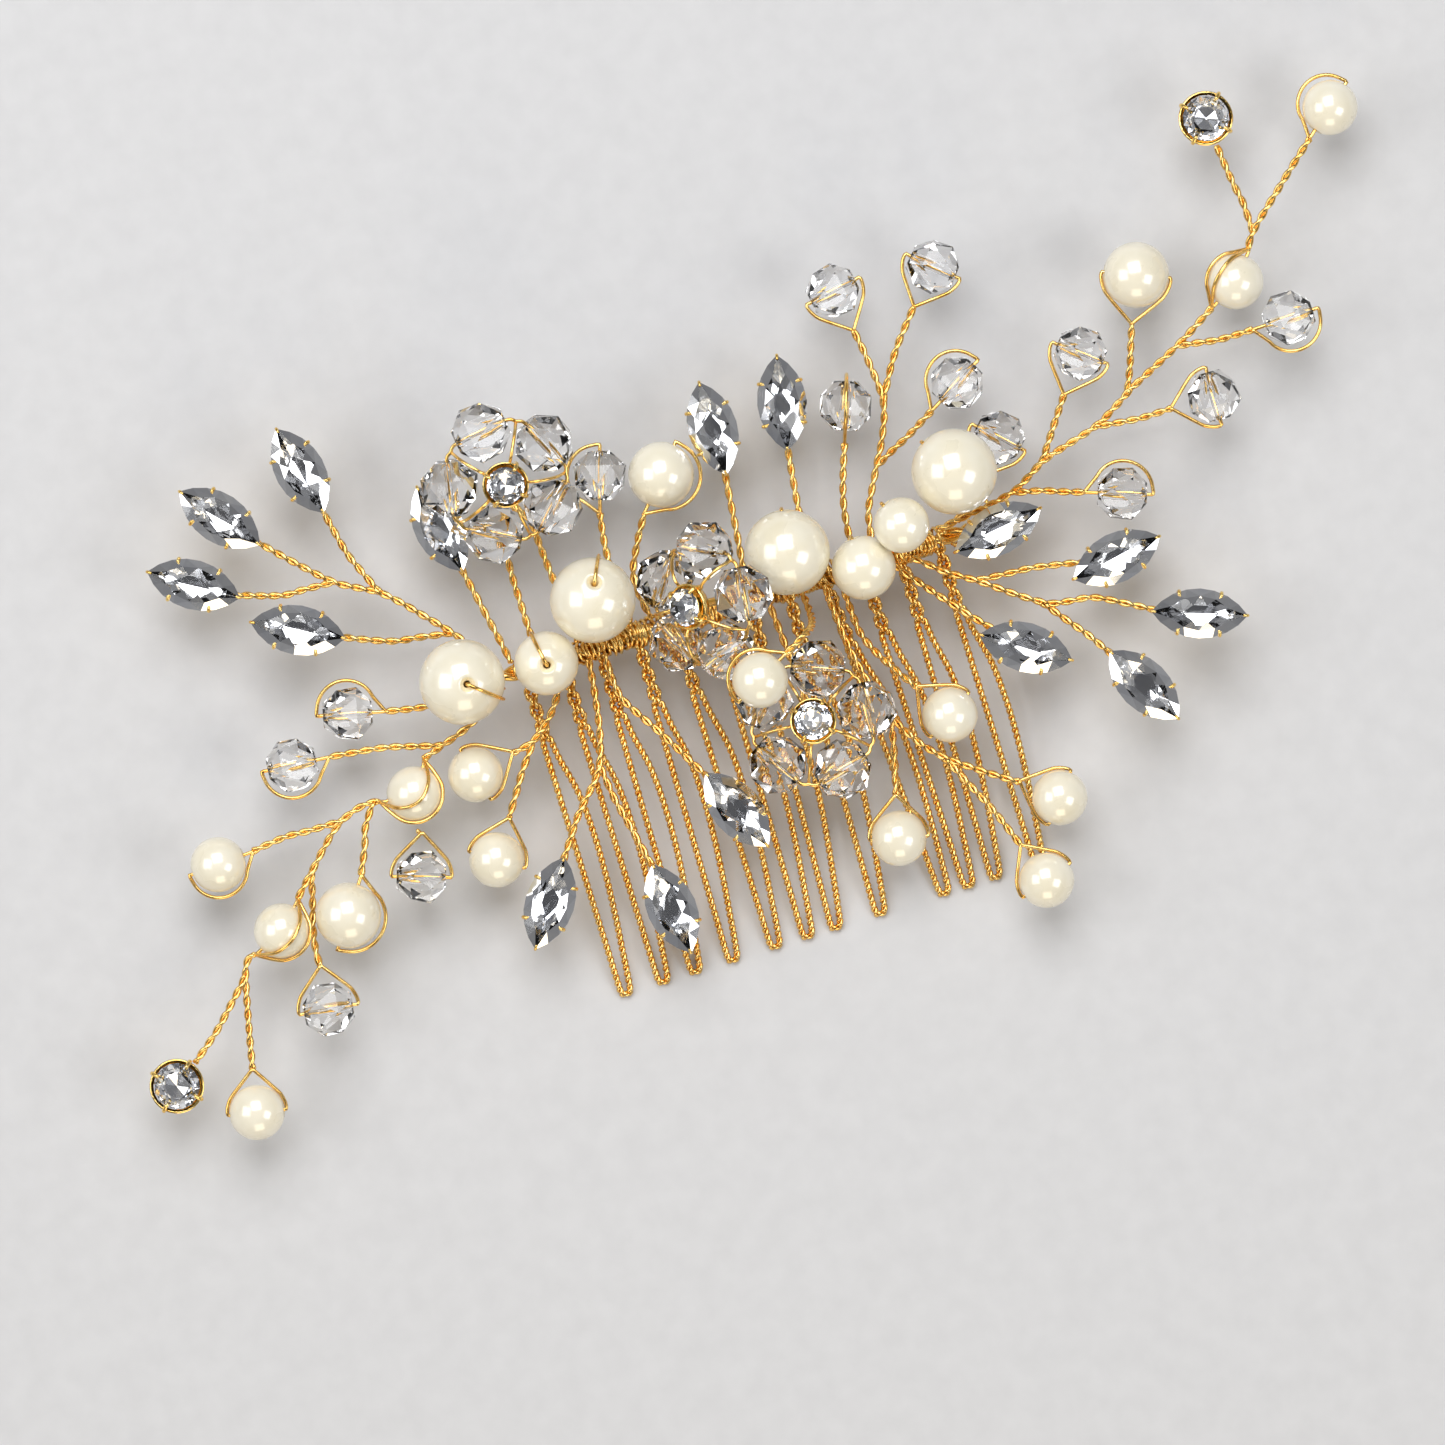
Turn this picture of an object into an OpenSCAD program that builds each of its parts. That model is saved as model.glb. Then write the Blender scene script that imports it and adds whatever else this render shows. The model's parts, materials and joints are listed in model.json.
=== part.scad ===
// Decorative hair comb: twisted wire teeth on a wrapped bar, with sprays of pearls,
// faceted beads, leaf-shaped stones and three beaded flowers on twisted wire stems.
// Millimetres. The bar lies along X through the origin, the teeth point to -Y and
// the decorated front faces +Z.

/* [Comb] */
// Length of the bar that carries the teeth
bar_len = 47; // [42:1:58]
// Diameter of the bar
bar_d = 1.6; // [1.2:0.1:2]
// Number of teeth
tooth_count = 12; // [8:1:14]
// Bar length left free past the first and the last tooth
bar_end = 3.2; // [2:0.1:5]
// Length of the teeth, from the bar's axis to the tips
tooth_len = 32.3; // [25:0.1:42]
// Thickness of the wire in a tooth
tooth_wire_d = 0.65; // [0.5:0.05:0.8]
// Length of each tooth's closed neck below the bar
tooth_neck = 8; // [4:0.5:12]
// How far the right strand of a tooth bows out
tooth_bow = 1.3; // [0.6:0.1:1.6]
// How far the tips curve back, away from the decorated front
tooth_drop = 4.5; // [0:0.5:8]

/* [Sprays] */
// Reach of the left spray, from the bar's end to the far stone
left_reach = 42; // [34:1:52]
// Reach of the right spray, from the bar's end to the far pearl
right_reach = 46.5; // [38:0.5:56]
// Thickness of a twisted stem
stem_d = 0.66; // [0.5:0.02:0.8]
// Thickness of the single wire that holds a bead
loop_wire_d = 0.5; // [0.4:0.02:0.6]

/* [Beads] */
// Diameter of the large pearls along the bar
large_pearl_d = 8; // [6.5:0.1:8.5]
// Diameter of the smaller pearls along the bar
bar_pearl_d = 6; // [5:0.1:6.4]
// Diameter of the pearls on the stems
pearl_d = 5.2; // [4:0.1:6.2]
// Diameter of the three accent pearls on the stems
accent_pearl_d = 6.2; // [5:0.1:6.6]
// Diameter of the clear faceted beads
crystal_d = 5.6; // [4.5:0.1:6.2]
// Diameter of the five beads in each flower
petal_d = 5.6; // [4.5:0.1:5.8]
// Gap between a bead's hole and its wire, all round
bead_fit = 0.07; // [0.03:0.01:0.1]
// Diameter of the flared mouth of a pearl's hole
hole_mouth_d = 1.3; // [1:0.1:1.6]

/* [Stones] */
// Length of a leaf stone's setting
leaf_l = 10.4; // [8:0.1:11.5]
// Width of a leaf stone's setting
leaf_w = 5.2; // [4:0.1:5.6]
// Height of a leaf stone's setting
leaf_h = 1.1; // [0.8:0.1:1.4]
// Outer diameter of the round cups at the spray tips
tip_cup_d = 5.2; // [4.4:0.1:6]
// Outer diameter of the round cups in the flowers
flower_cup_d = 4.4; // [3.6:0.1:5]
// Wall of every setting
rim_t = 0.35; // [0.25:0.05:0.5]
// How far a stone stands above its setting
stone_rise = 1.1; // [0.7:0.1:1.5]

/* [Hidden] */
join_gap = 0.03;       // between pieces that lie against each other
stem_gap = 0.1;        // between a stem's square end and the round bow that it meets
bead_play = 0.1;       // between a bead and the wire bow round it
bow_r_scale = 1.1;     // bend ball at a loop's corners, in wire radii
tube_sides = 6;
round_fn = 48;
wire_fn = 24;

bar_top = bar_d / 2 + stem_d / 2 + join_gap;   // axis height of a stem lying on the bar
tooth_pitch = (bar_len - 2 * bar_end) / (tooth_count - 1);
strand_x = tooth_wire_d / 2 + join_gap;        // half the spacing of a neck's two strands
// Sideways lean of each tip, left to right. Teeth past the list are straight.
tip_lean = [0, 0, -0.5, -0.5, 0, -0.5, -1.4, -0.7, 1.9, 0.6, -0.4, 0.2];

// Kinds of bead
PEARL = 0;
ACCENT = 1;
CRYSTAL = 2;
LARGE = 3;
BAR_PEARL = 4;
function bead_d(kind) = [pearl_d, accent_pearl_d, crystal_d, large_pearl_d, bar_pearl_d][kind];

// Ways a bead's wire runs: through the bead along the stem, with its bow on the
// left, on the right or over the front, or across the stem with its bow on the stem's side
LEFT = 1;
RIGHT = 2;
OVER = 3;
ACROSS = 4;

// Plan points right of the bar stretch with right_reach, and those left of it
// with left_reach. Heights count from the axis of a stem that lies on the bar.
half_bar = bar_len / 2;
drawn_half_bar = 23.5;
drawn_left_reach = 42;
drawn_right_reach = 46.5;
function along(x) =
    x < -drawn_half_bar ? -half_bar + (x + drawn_half_bar) * left_reach / drawn_left_reach
    : x > drawn_half_bar ? half_bar + (x - drawn_half_bar) * right_reach / drawn_right_reach
    : x * half_bar / drawn_half_bar;
function spot(x, y, z) = [along(x), y, z + bar_top];
function line(points) = [for (p = points) spot(p[0], p[1], p[2])];
function unit(v) = v / norm(v);
function flat(v) = [v[0], v[1], 0];

// Beads that turn on their wires: kind, place, where the stem comes from, wire's way
beads = [
    // pearls
    [PEARL, spot(-27.5, -8, 0.8), spot(-23.5, -7, 0.6), ACROSS],
    [PEARL, spot(-28, -16.2, 0.8), spot(-25.5, -12.5, 0.6), ACROSS],
    [PEARL, spot(-53, -8.8, 0.8), spot(-46, -8.4, 0.8), LEFT],
    [ACCENT, spot(-42.8, -17, 0.8), spot(-40, -13, 0.8), LEFT],
    [PEARL, spot(-56.5, -32, 0.8), spot(-55.3, -26, 0.8), ACROSS],
    [ACCENT, spot(-2.5, 13.5, 2), spot(-6, 9.5, 1), RIGHT],
    [PEARL, spot(0.5, -7.6, 9.8), spot(4.6, -5.4, 9), RIGHT],
    [PEARL, spot(16.5, -16, 1.2), spot(14, -12, 0.6), ACROSS],
    [PEARL, spot(24, -26.5, 0.3), spot(19, -22.3, 0.1), ACROSS],
    [PEARL, spot(20.5, -33.5, 0.3), spot(18.3, -27, 0.1), ACROSS],
    [PEARL, spot(8.5, -25.6, 0.4), spot(9.8, -20, -0.2), ACROSS],
    [ACCENT, spot(45.5, 18, 0.8), spot(43, 12, 0.8), ACROSS],
    [PEARL, spot(67.5, 27.5, 0.8), spot(62, 23, 0.8), LEFT],
    // clear faceted beads
    [CRYSTAL, spot(-37.2, 1, 0.7), spot(-31, -0.5, 0.5), RIGHT],
    [CRYSTAL, spot(-43.6, -2, 0.7), spot(-37, -2.6, 0.7), LEFT],
    [CRYSTAL, spot(-35.2, -15.6, 0.8), spot(-34, -12, 0.8), ACROSS],
    [CRYSTAL, spot(-47.2, -24.8, 0.8), spot(-46.5, -19, 0.8), ACROSS],
    [CRYSTAL, spot(18, 25.1, 0.6), spot(19, 19.5, 0.4), ACROSS],
    [CRYSTAL, spot(27.6, 24.5, 0.6), spot(23.5, 20, 0.4), ACROSS],
    [CRYSTAL, spot(15.9, 14.5, 0.6), spot(14, 9, 0.2), OVER],
    [CRYSTAL, spot(26.5, 13.4, 0.6), spot(21.5, 10.5, 0.4), LEFT],
    [CRYSTAL, spot(28.7, 7.4, -0.8), spot(25, 3.6, -0.8), ACROSS],
    [CRYSTAL, spot(38.3, 12.6, 0.7), spot(34.6, 8, 0.6), ACROSS],
    [CRYSTAL, spot(49, 5, 0.7), spot(43, 5.2, 0.7), ACROSS],
    [CRYSTAL, spot(57.9, 9.9, 0.8), spot(52, 9.8, 0.8), RIGHT],
    [CRYSTAL, spot(38.1, -1.1, 0.7), spot(32.4, 0.9, 0.5), LEFT],
    [CRYSTAL, spot(-8, 15.2, 0.2), spot(-9.3, 11, 0), LEFT],
];
turning_pearls = 13;

// Pearls gripped in line by a stem: kind, place, where the stem comes from
inline_pearls = [
    [PEARL, spot(-33.5, -8, 0.8), spot(-31.6, -5, 0.6)],
    [PEARL, spot(-49.2, -16.5, 0.8), spot(-46.2, -13.4, 0.8)],
    [PEARL, spot(54.2, 14.6, 0.8), spot(50, 12.2, 0.8)],
];

// Pearls tied to the bar: kind, plan place, height above the lowest it can sit,
// lean of the hole towards the bow, and the bow's direction
bar_pearls = [
    [LARGE, [-26, 0.6], 0, 10, -40],
    [BAR_PEARL, [-18, -0.1], 0, 0, 100],
    [LARGE, [-12.1, 4.2], 0, 25, 65],
    [LARGE, [6.5, 3], 0, 90, 80],
    [BAR_PEARL, [12.9, -0.5], 0, 90, 95],
    [PEARL, [17.4, 2.2], 2.7, 90, 115],
    [LARGE, [23.6, 5.5], 0, 90, 120],
];

// Leaf stones: base point, direction from base to tip
left_leaves = [
    [spot(-33.5, 18.9, 0.3), 102],
    [spot(-39.8, 18, 0.3), 129],
    [spot(-42.9, 14, 0.3), 147],
    [spot(-34.6, 7.5, 0.3), 153],
];
lower_left_leaves = [
    [spot(-7.2, -13.7, -0.5), -67],
    [spot(-14.3, -20.3, -0.5), -84],
    [spot(-21.5, -17.3, -0.5), -125],
];
upper_leaves = [
    [spot(3.3, 11, -0.2), 89],
    [spot(9.3, 11.4, -0.2), 79],
    [spot(-22.8, 9.8, -0.9), 101],
];
right_leaves = [
    [spot(20.8, -1.8, 0.8), 10],
    [spot(30.6, -7.5, 0.2), 9],
    [spot(36.7, -12.2, 0.2), -20],
    [spot(32.2, -14.2, 0.2), -62],
    [spot(20.8, -9.3, 0.1), -33],
];

// Round stones in cups at the spray tips: place, where the stem comes from
tip_stones = [
    [spot(-62.9, -27.4, 0.5), spot(-58, -24, 0.6)],
    [spot(56.1, 30, 0.6), spot(56.6, 24, 0.7)],
];

// Flowers: centre of the bead ring, tilt, the side it tilts to, first bead's direction
flower_ring_r = petal_d / 2 / sin(36) + 0.35;
petal_floor = petal_d / 2 + stem_d / 2 + join_gap;   // ring height that clears a stem below
flowers = [
    [spot(-16.6, 17.3, petal_floor + 0.6), 12, -90, 26],
    [spot(-2.4, 0.8, petal_floor + 2.1), 42, 175, -5],
    [spot(4.1, -12.9, petal_floor - 0.2), 5, 90, -4],
];

// ---- wire loops round beads ----

function heading(from, to) = atan2(to[1] - from[1], to[0] - from[0]);
function loop_r(d) = d / 2 + bead_play + loop_wire_d / 2;
function loop_reach(d) = loop_r(d) + bow_r_scale * loop_wire_d / 2 + join_gap;
// The point on a bead's loop that faces p, where a stem meets it
function rim(b, p) =
    b[1] + unit(flat(p - b[1])) * (loop_reach(bead_d(b[0])) + stem_gap);
function stem_end(b) = rim(b, b[2]);
// Axis of the hole through a turning bead
function bead_turn(b) = heading(b[2], b[1]) + (b[3] == ACROSS ? -90 : 0);

// A straight wire along X through the bead, and a half ring round it on the -Y side
module wire_loop(d) {
    r = loop_r(d);
    rotate([0, 90, 0])
        cylinder(d = loop_wire_d, h = 2 * r, center = true, $fn = wire_fn);
    rotate([0, 0, 180])
        rotate_extrude(angle = 180, $fn = round_fn)
            translate([r, 0])
                circle(d = loop_wire_d, $fn = wire_fn);
    for (side = [-1, 1])
        translate([side * r, 0, 0])
            sphere(d = bow_r_scale * loop_wire_d, $fn = wire_fn);
}

// A pearl drilled along X, with flared hole mouths
module drilled_pearl(d) {
    mouth_depth = (hole_mouth_d - loop_wire_d) / 2;
    flare = hole_mouth_d / 2 - loop_wire_d / 2 - bead_fit;
    rotate([0, 90, 0])
        difference() {
            sphere(d = d, $fn = round_fn);
            cylinder(d = loop_wire_d + 2 * bead_fit, h = d + 1, center = true, $fn = wire_fn);
            for (side = [0, 180])
                rotate([side, 0, 0])
                    translate([0, 0, d / 2 - mouth_depth])
                        cylinder(
                            r1 = loop_wire_d / 2 + bead_fit, r2 = loop_wire_d / 2 + bead_fit + 2 * flare,
                            h = 2 * mouth_depth, $fn = wire_fn
                        );
        }
}

// A faceted barrel bead drilled along X
module drilled_crystal(d) {
    facets = 8;
    profile = [for (a = [-90 : 36 : 90]) [d / 2 * max(cos(a), 0.24), d / 2 * sin(a)]];
    rotate([0, 90, 0])
        difference() {
            rotate_extrude($fn = facets)
                polygon(concat([[0, -d / 2]], profile, [[0, d / 2]]));
            cylinder(d = loop_wire_d + 2 * bead_fit, h = d + 1, center = true, $fn = wire_fn);
        }
}

module drilled_bead(kind) {
    if (kind == CRYSTAL)
        drilled_crystal(bead_d(kind));
    else
        drilled_pearl(bead_d(kind));
}

module at_bead(b) {
    translate(b[1])
        rotate([b[3] == LEFT ? 180 : b[3] == OVER ? -90 : 0, 0, bead_turn(b)])
            children();
}

module at_inline_pearl(b) {
    translate(b[1])
        rotate([-90, 0, heading(b[2], b[1])])
            children();
}

function bar_pearl_z(b) = bar_d / 2 + stem_d + 2 * join_gap + loop_reach(bead_d(b[0])) + b[2];
module at_bar_pearl(b) {
    translate([along(b[1][0]), b[1][1], bar_pearl_z(b)])
        rotate([0, 0, b[4] + 90])
            rotate([b[3], 0, 0])
                rotate([0, -90, 0])
                    children();
}

// ---- swept wires ----

// Two extra points between each pair, on a Catmull-Rom curve
function curve_point(p0, p1, p2, p3, t) =
    0.5 * (2 * p1 + (p2 - p0) * t + (2 * p0 - 5 * p1 + 4 * p2 - p3) * t * t
    + (3 * p1 - p0 - 3 * p2 + p3) * t * t * t);
function smooth(p, steps = 2) =
    len(p) < 3 ? p
    : concat(
        [for (i = [0 : len(p) - 2], k = [0 : steps - 1])
            curve_point(p[max(i - 1, 0)], p[i], p[i + 1], p[min(i + 2, len(p) - 1)], k / steps)],
        [p[len(p) - 1]]
    );

function tangent(p, i) = unit(p[min(i + 1, len(p) - 1)] - p[max(i - 1, 0)]);

// A round wire swept along the points of a path that never runs along Z
module wire(path, d) {
    n = tube_sides;
    last = len(path) - 1;
    points = [
        for (i = [0 : last])
            let (t = tangent(path, i), side = unit(cross(t, [0, 0, 1])), up = cross(side, t))
            for (k = [0 : n - 1])
                path[i] + d / 2 * (side * cos(k * 360 / n) + up * sin(k * 360 / n))
    ];
    walls = [
        for (i = [0 : last - 1], k = [0 : n - 1])
            let (a = i * n + k, b = i * n + (k + 1) % n)
            each [[a, b, b + n], [a, b + n, a + n]]
    ];
    start = [for (k = [1 : n - 2]) [0, k + 1, k]];
    end = [for (k = [1 : n - 2]) [last * n, last * n + k, last * n + k + 1]];
    polyhedron(points, concat(walls, start, end));
}

module stems(paths) {
    color("gold")
        for (p = paths)
            wire(smooth(p), stem_d);
}

// ---- stones ----

function arc_r(l, w) = (l * l + w * w) / (4 * w);

// Pointed oval from (0, 0) to (l, 0)
module leaf_outline(l, w) {
    r = arc_r(l, w);
    intersection_for(side = [-1, 1])
        translate([l / 2, side * (r - w / 2)])
            circle(r = r, $fn = 96);
}

// Pointed oval block whose sides slope in by bevel over its height
module leaf_crown(l, w, h, bevel) {
    r = arc_r(l, w);
    intersection_for(side = [-1, 1])
        translate([0, side * (r - w / 2), 0])
            cylinder(r1 = r, r2 = r - bevel, h = h, $fn = 96);
}

module at_leaf(leaf) {
    translate(leaf[0] + [0, 0, stem_d / 2 + join_gap])
        rotate([0, 0, leaf[1]])
            children();
}

// Point under a leaf, a little in from its base, where its stem ends
leaf_stem_in = 1.8;
function leaf_end(leaf) = leaf[0] + leaf_stem_in * [cos(leaf[1]), sin(leaf[1]), 0];

leaf_floor_t = 0.35;
claw_d = 0.42;
claw_h = 0.45;

module leaf_setting() {
    slope = leaf_w / leaf_l;
    difference() {
        linear_extrude(leaf_h)
            leaf_outline(leaf_l, leaf_w);
        translate([rim_t / slope, 0, leaf_floor_t])
            linear_extrude(leaf_h)
                leaf_outline(leaf_l - 2 * rim_t / slope, leaf_w - 2 * rim_t);
    }
    for (side = [-1, 1], end = [-1, 1])
        translate([leaf_l / 2 + end * leaf_l / 5, side * (claw_y() - claw_d / 2 + 0.05), leaf_floor_t])
            cylinder(d = claw_d, h = leaf_h - leaf_floor_t + claw_h, $fn = wire_fn);
}
// Half width of a setting's outline at the claws
function claw_y() = sqrt(pow(arc_r(leaf_l, leaf_w), 2) - pow(leaf_l / 5, 2))
    - arc_r(leaf_l, leaf_w) + leaf_w / 2;

stone_gap = 0.12;
stone_bevel = 1;
module leaf_stone() {
    slope = leaf_w / leaf_l;
    inset = rim_t + stone_gap;
    l = leaf_l - 2 * inset / slope;
    w = leaf_w - 2 * inset;
    translate([leaf_l / 2, 0, leaf_floor_t + join_gap])
        leaf_crown(l, w, leaf_h - leaf_floor_t + stone_rise, stone_bevel);
}

// Round cup with four claws, its base on z = 0
cup_h = 1.3;
module round_cup(d) {
    difference() {
        cylinder(d = d, h = cup_h, $fn = round_fn);
        translate([0, 0, leaf_floor_t])
            cylinder(d = d - 2 * rim_t, h = cup_h, $fn = round_fn);
    }
    for (a = [45 : 90 : 315])
        rotate([0, 0, a])
            translate([d / 2 - claw_d / 2 + 0.05, 0, leaf_floor_t])
                cylinder(d = claw_d, h = cup_h - leaf_floor_t + claw_h, $fn = wire_fn);
}

module round_stone(d) {
    r = d / 2 - rim_t - stone_gap;
    translate([0, 0, leaf_floor_t + join_gap])
        cylinder(r = r, h = cup_h - leaf_floor_t - join_gap, $fn = round_fn);
    translate([0, 0, cup_h])
        cylinder(r1 = r, r2 = r * 0.6, h = stone_rise, $fn = round_fn);
}

module at_tip(t) {
    translate(t[0] - [0, 0, stem_d / 2])
        children();
}
function tip_rim(t) = t[0] + unit(flat(t[1] - t[0])) * (tip_cup_d / 2 + join_gap + 0.12);

// ---- comb ----

module comb_bar() {
    color("gold")
        rotate([0, 90, 0])
            cylinder(d = bar_d, h = bar_len, center = true, $fn = round_fn);
}

// Height of a tooth's wire at a distance s from the bar, 0 to 1 along its length
function tooth_z(s) = -tooth_drop * s * s;
tooth_steps = 8;
tip_bend_r = strand_x + 0.12;
straight_len = tooth_len - tip_bend_r - tooth_wire_d / 2;

// One strand's point: side is -1 or 1, s runs from 0 at the bar to 1 at the tip bend
function strand_point(side, s, lean) =
    let (
        y = -(bar_d / 2 + join_gap) * (1 - s) - straight_len * s,
        open = max(0, (-y - tooth_neck) / (straight_len - tooth_neck)),
        bow = side > 0 ? (tooth_bow - 2 * strand_x + tooth_wire_d) * sin(180 * pow(open, 0.7)) : 0
    )
    [side * (strand_x + (tip_bend_r - strand_x) * open) + bow + lean * s, y, tooth_z(-y / tooth_len)];

function tooth_path(lean) = concat(
    [for (i = [0 : tooth_steps]) strand_point(-1, i / tooth_steps, lean)],
    [for (a = [45 : 45 : 135])
        [lean - tip_bend_r * cos(a), -straight_len - tip_bend_r * sin(a), tooth_z(1)]],
    [for (i = [tooth_steps : -1 : 0]) strand_point(1, i / tooth_steps, lean)]
);

module comb_teeth() {
    color("gold")
        for (i = [0 : tooth_count - 1])
            translate([(i - (tooth_count - 1) / 2) * tooth_pitch, 0, 0])
                wire(tooth_path(i < len(tip_lean) ? tip_lean[i] : 0), tooth_wire_d);
}

// Turns of thin wire round the bar between the teeth, in pairs
wrap_wire_d = 0.3;
module binding_wire() {
    ring_r = bar_d / 2 + join_gap + wrap_wire_d / 2;
    color("goldenrod")
        for (i = [0 : tooth_count - 2], turn = [-1, 0, 1])
            translate([(i + 0.5 - (tooth_count - 1) / 2) * tooth_pitch + turn * 1.5 * wrap_wire_d, 0, 0])
                rotate([0, 90, 0])
                    rotate_extrude($fn = round_fn)
                        translate([ring_r, 0])
                            circle(d = wrap_wire_d, $fn = wire_fn);
}

// ---- pearls along the bar ----

module bar_pearl_group(kinds) {
    color("ivory")
        for (b = bar_pearls)
            if (len(search(b[0], kinds)) > 0)
                at_bar_pearl(b)
                    drilled_pearl(bead_d(b[0]));
}
module large_pearls() { bar_pearl_group([LARGE]); }
module small_bar_pearls() { bar_pearl_group([BAR_PEARL, PEARL]); }

module bar_pearl_wires() {
    color("gold")
        for (b = bar_pearls)
            at_bar_pearl(b)
                wire_loop(bead_d(b[0]));
}

// ---- beads on the stems ----

module turning_bead(i) {
    color(beads[i][0] == CRYSTAL ? "lightcyan" : "ivory")
        at_bead(beads[i])
            drilled_bead(beads[i][0]);
}

module bead_wires() {
    color("gold") {
        for (b = beads)
            at_bead(b)
                wire_loop(bead_d(b[0]));
        for (b = inline_pearls)
            at_inline_pearl(b)
                wire_loop(bead_d(b[0]));
    }
}

module gripped_pearls() {
    color("ivory")
        for (b = inline_pearls)
            at_inline_pearl(b)
                drilled_pearl(bead_d(b[0]));
}

// ---- flowers ----

module at_flower(f) {
    translate(f[0])
        rotate([0, 0, f[2]])
            rotate([0, f[1], 0])
                rotate([0, 0, f[3] - f[2]])
                    children();
}

module flower_beads(f) {
    color("lightcyan")
        at_flower(f)
            for (k = [0 : 4])
                rotate([0, 0, k * 72])
                    translate([flower_ring_r, 0, 0])
                        rotate([0, 0, 90])
                            drilled_crystal(petal_d);
}

// The wire that strings a flower's beads: straight through each bead, bent between them
module flower_ring(f) {
    side_l = 2 * flower_ring_r * tan(36);
    at_flower(f)
        for (k = [0 : 4])
            rotate([0, 0, k * 72]) {
                translate([flower_ring_r, 0, 0])
                    rotate([90, 0, 0])
                        cylinder(d = loop_wire_d, h = side_l, center = true, $fn = wire_fn);
                rotate([0, 0, 36])
                    translate([flower_ring_r / cos(36), 0, 0])
                        sphere(d = bow_r_scale * loop_wire_d, $fn = wire_fn);
            }
}

module flower_rings() {
    color("gold")
        for (f = flowers)
            flower_ring(f);
}

// A flower's cup stands above the height where its edge would touch the beads round it
cup_reach = petal_d / 2 + flower_cup_d / 2;
cup_lift = 1.2;
cup_rise = sqrt(max(0, pow(cup_reach, 2) - pow(flower_ring_r, 2))) + cup_lift;

// The post that carries it, from just above the beads' backs into the cup's floor
post_d = 0.9;
post_foot = 0.3;
post_seat = 0.1;
module flower_settings() {
    color("gold")
        for (f = flowers)
            at_flower(f) {
                translate([0, 0, cup_rise])
                    round_cup(flower_cup_d);
                translate([0, 0, -(petal_d / 2 - post_foot)])
                    cylinder(d = post_d, h = cup_rise + petal_d / 2 - post_foot + post_seat,
                        $fn = wire_fn);
            }
}

module flower_stones() {
    color("whitesmoke")
        for (f = flowers)
            at_flower(f)
                translate([0, 0, cup_rise])
                    round_stone(flower_cup_d);
}

// ---- leaf stones and tip stones ----

module settings_for(leaves) {
    color("gold")
        for (leaf = leaves)
            at_leaf(leaf)
                leaf_setting();
}

module stones_for(leaves) {
    color("silver")
        for (leaf = leaves)
            at_leaf(leaf)
                leaf_stone();
}

module tip_settings() {
    color("gold")
        for (t = tip_stones)
            at_tip(t)
                round_cup(tip_cup_d);
}

module tip_stone_pair() {
    color("whitesmoke")
        for (t = tip_stones)
            at_tip(t)
                round_stone(tip_cup_d);
}

// ---- stems: each path is one branch, from its root or fork to its end ----

module left_leaf_stem() {
    stems([
        concat(line([[-23, 0.8, 0], [-25, 4.5, 0], [-28, 8, 0.2], [-31, 11, 0.3], [-35, 13.4, 0.3]]),
            [leaf_end(left_leaves[1])]),
        concat(line([[-36.3, 13.5, 0.3], [-39.5, 13.4, 0.3]]), [leaf_end(left_leaves[2])]),
        concat(line([[-31.6, 12.6, 0.3], [-32.8, 15.5, 0.3]]), [leaf_end(left_leaves[0])]),
        concat(line([[-27.2, 5.8, 0.1], [-31, 6.2, 0.3]]), [leaf_end(left_leaves[3])]),
    ]);
}

module left_pearl_stem() {
    first = inline_pearls[0];
    second = inline_pearls[1];
    stems([
        concat(line([[-22.6, -0.9, 0], [-26.6, -3.4, 0], [-29.8, -4.5, 0.3]]), [stem_end(first)]),
        concat([rim(first, spot(-40, -7.4, 0.8))], line([[-38.5, -7.6, 0.8], [-41.3, -8.7, 0.8],
            [-44.7, -11.9, 0.8]]), [stem_end(second)]),
        concat([rim(second, spot(-53, -18.2, 0.8))], line([[-53.6, -19.2, 0.8]]),
            [stem_end(beads[4])]),
        concat(line([[-54.8, -20.6, 0.7], [-57.6, -23.4, 0.6]]), [tip_rim(tip_stones[0])]),
        concat(line([[-42.5, -8.5, 0.8], [-46, -8.2, 0.8]]), [stem_end(beads[2])]),
        concat(line([[-45.3, -13.6, 0.3], [-46.2, -16.5, -0.5], [-46.7, -19, 0.4]]),
            [stem_end(beads[16])]),
        concat(line([[-38.6, -8.7, 0.8], [-39.3, -11, 0.8]]), [stem_end(beads[3])]),
        [rim(first, beads[15][1]), stem_end(beads[15])],
        concat(line([[-31.4, -4, 0.5], [-35, -3, 0.7]]), [stem_end(beads[14])]),
        concat(line([[-24.4, 0, 0.1], [-28, -0.8, 0.3]]), [stem_end(beads[13])]),
    ]);
}

module lower_left_bead_stem() {
    stems([
        concat(line([[-16.5, -0.9, 0], [-19, -4.6, 0.3], [-21.6, -6.7, 0.6]]), [stem_end(beads[0])]),
        concat(line([[-22.5, -7.9, 0.6], [-24.2, -10.5, 0.6]]), [stem_end(beads[1])]),
    ]);
}

module lower_left_leaf_stem() {
    stems([
        concat(line([[-12.6, -0.9, 0], [-12.4, -5, -0.3], [-10, -9.2, -0.5]]),
            [leaf_end(lower_left_leaves[0])]),
        concat(line([[-14.2, -0.9, 0], [-15, -6.6, -0.4], [-16.4, -11, -0.5], [-19.4, -14.4, -0.5]]),
            [leaf_end(lower_left_leaves[2])]),
        concat(line([[-16.1, -12.5, -0.5], [-15.4, -16, -0.5]]), [leaf_end(lower_left_leaves[1])]),
    ]);
}

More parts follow.
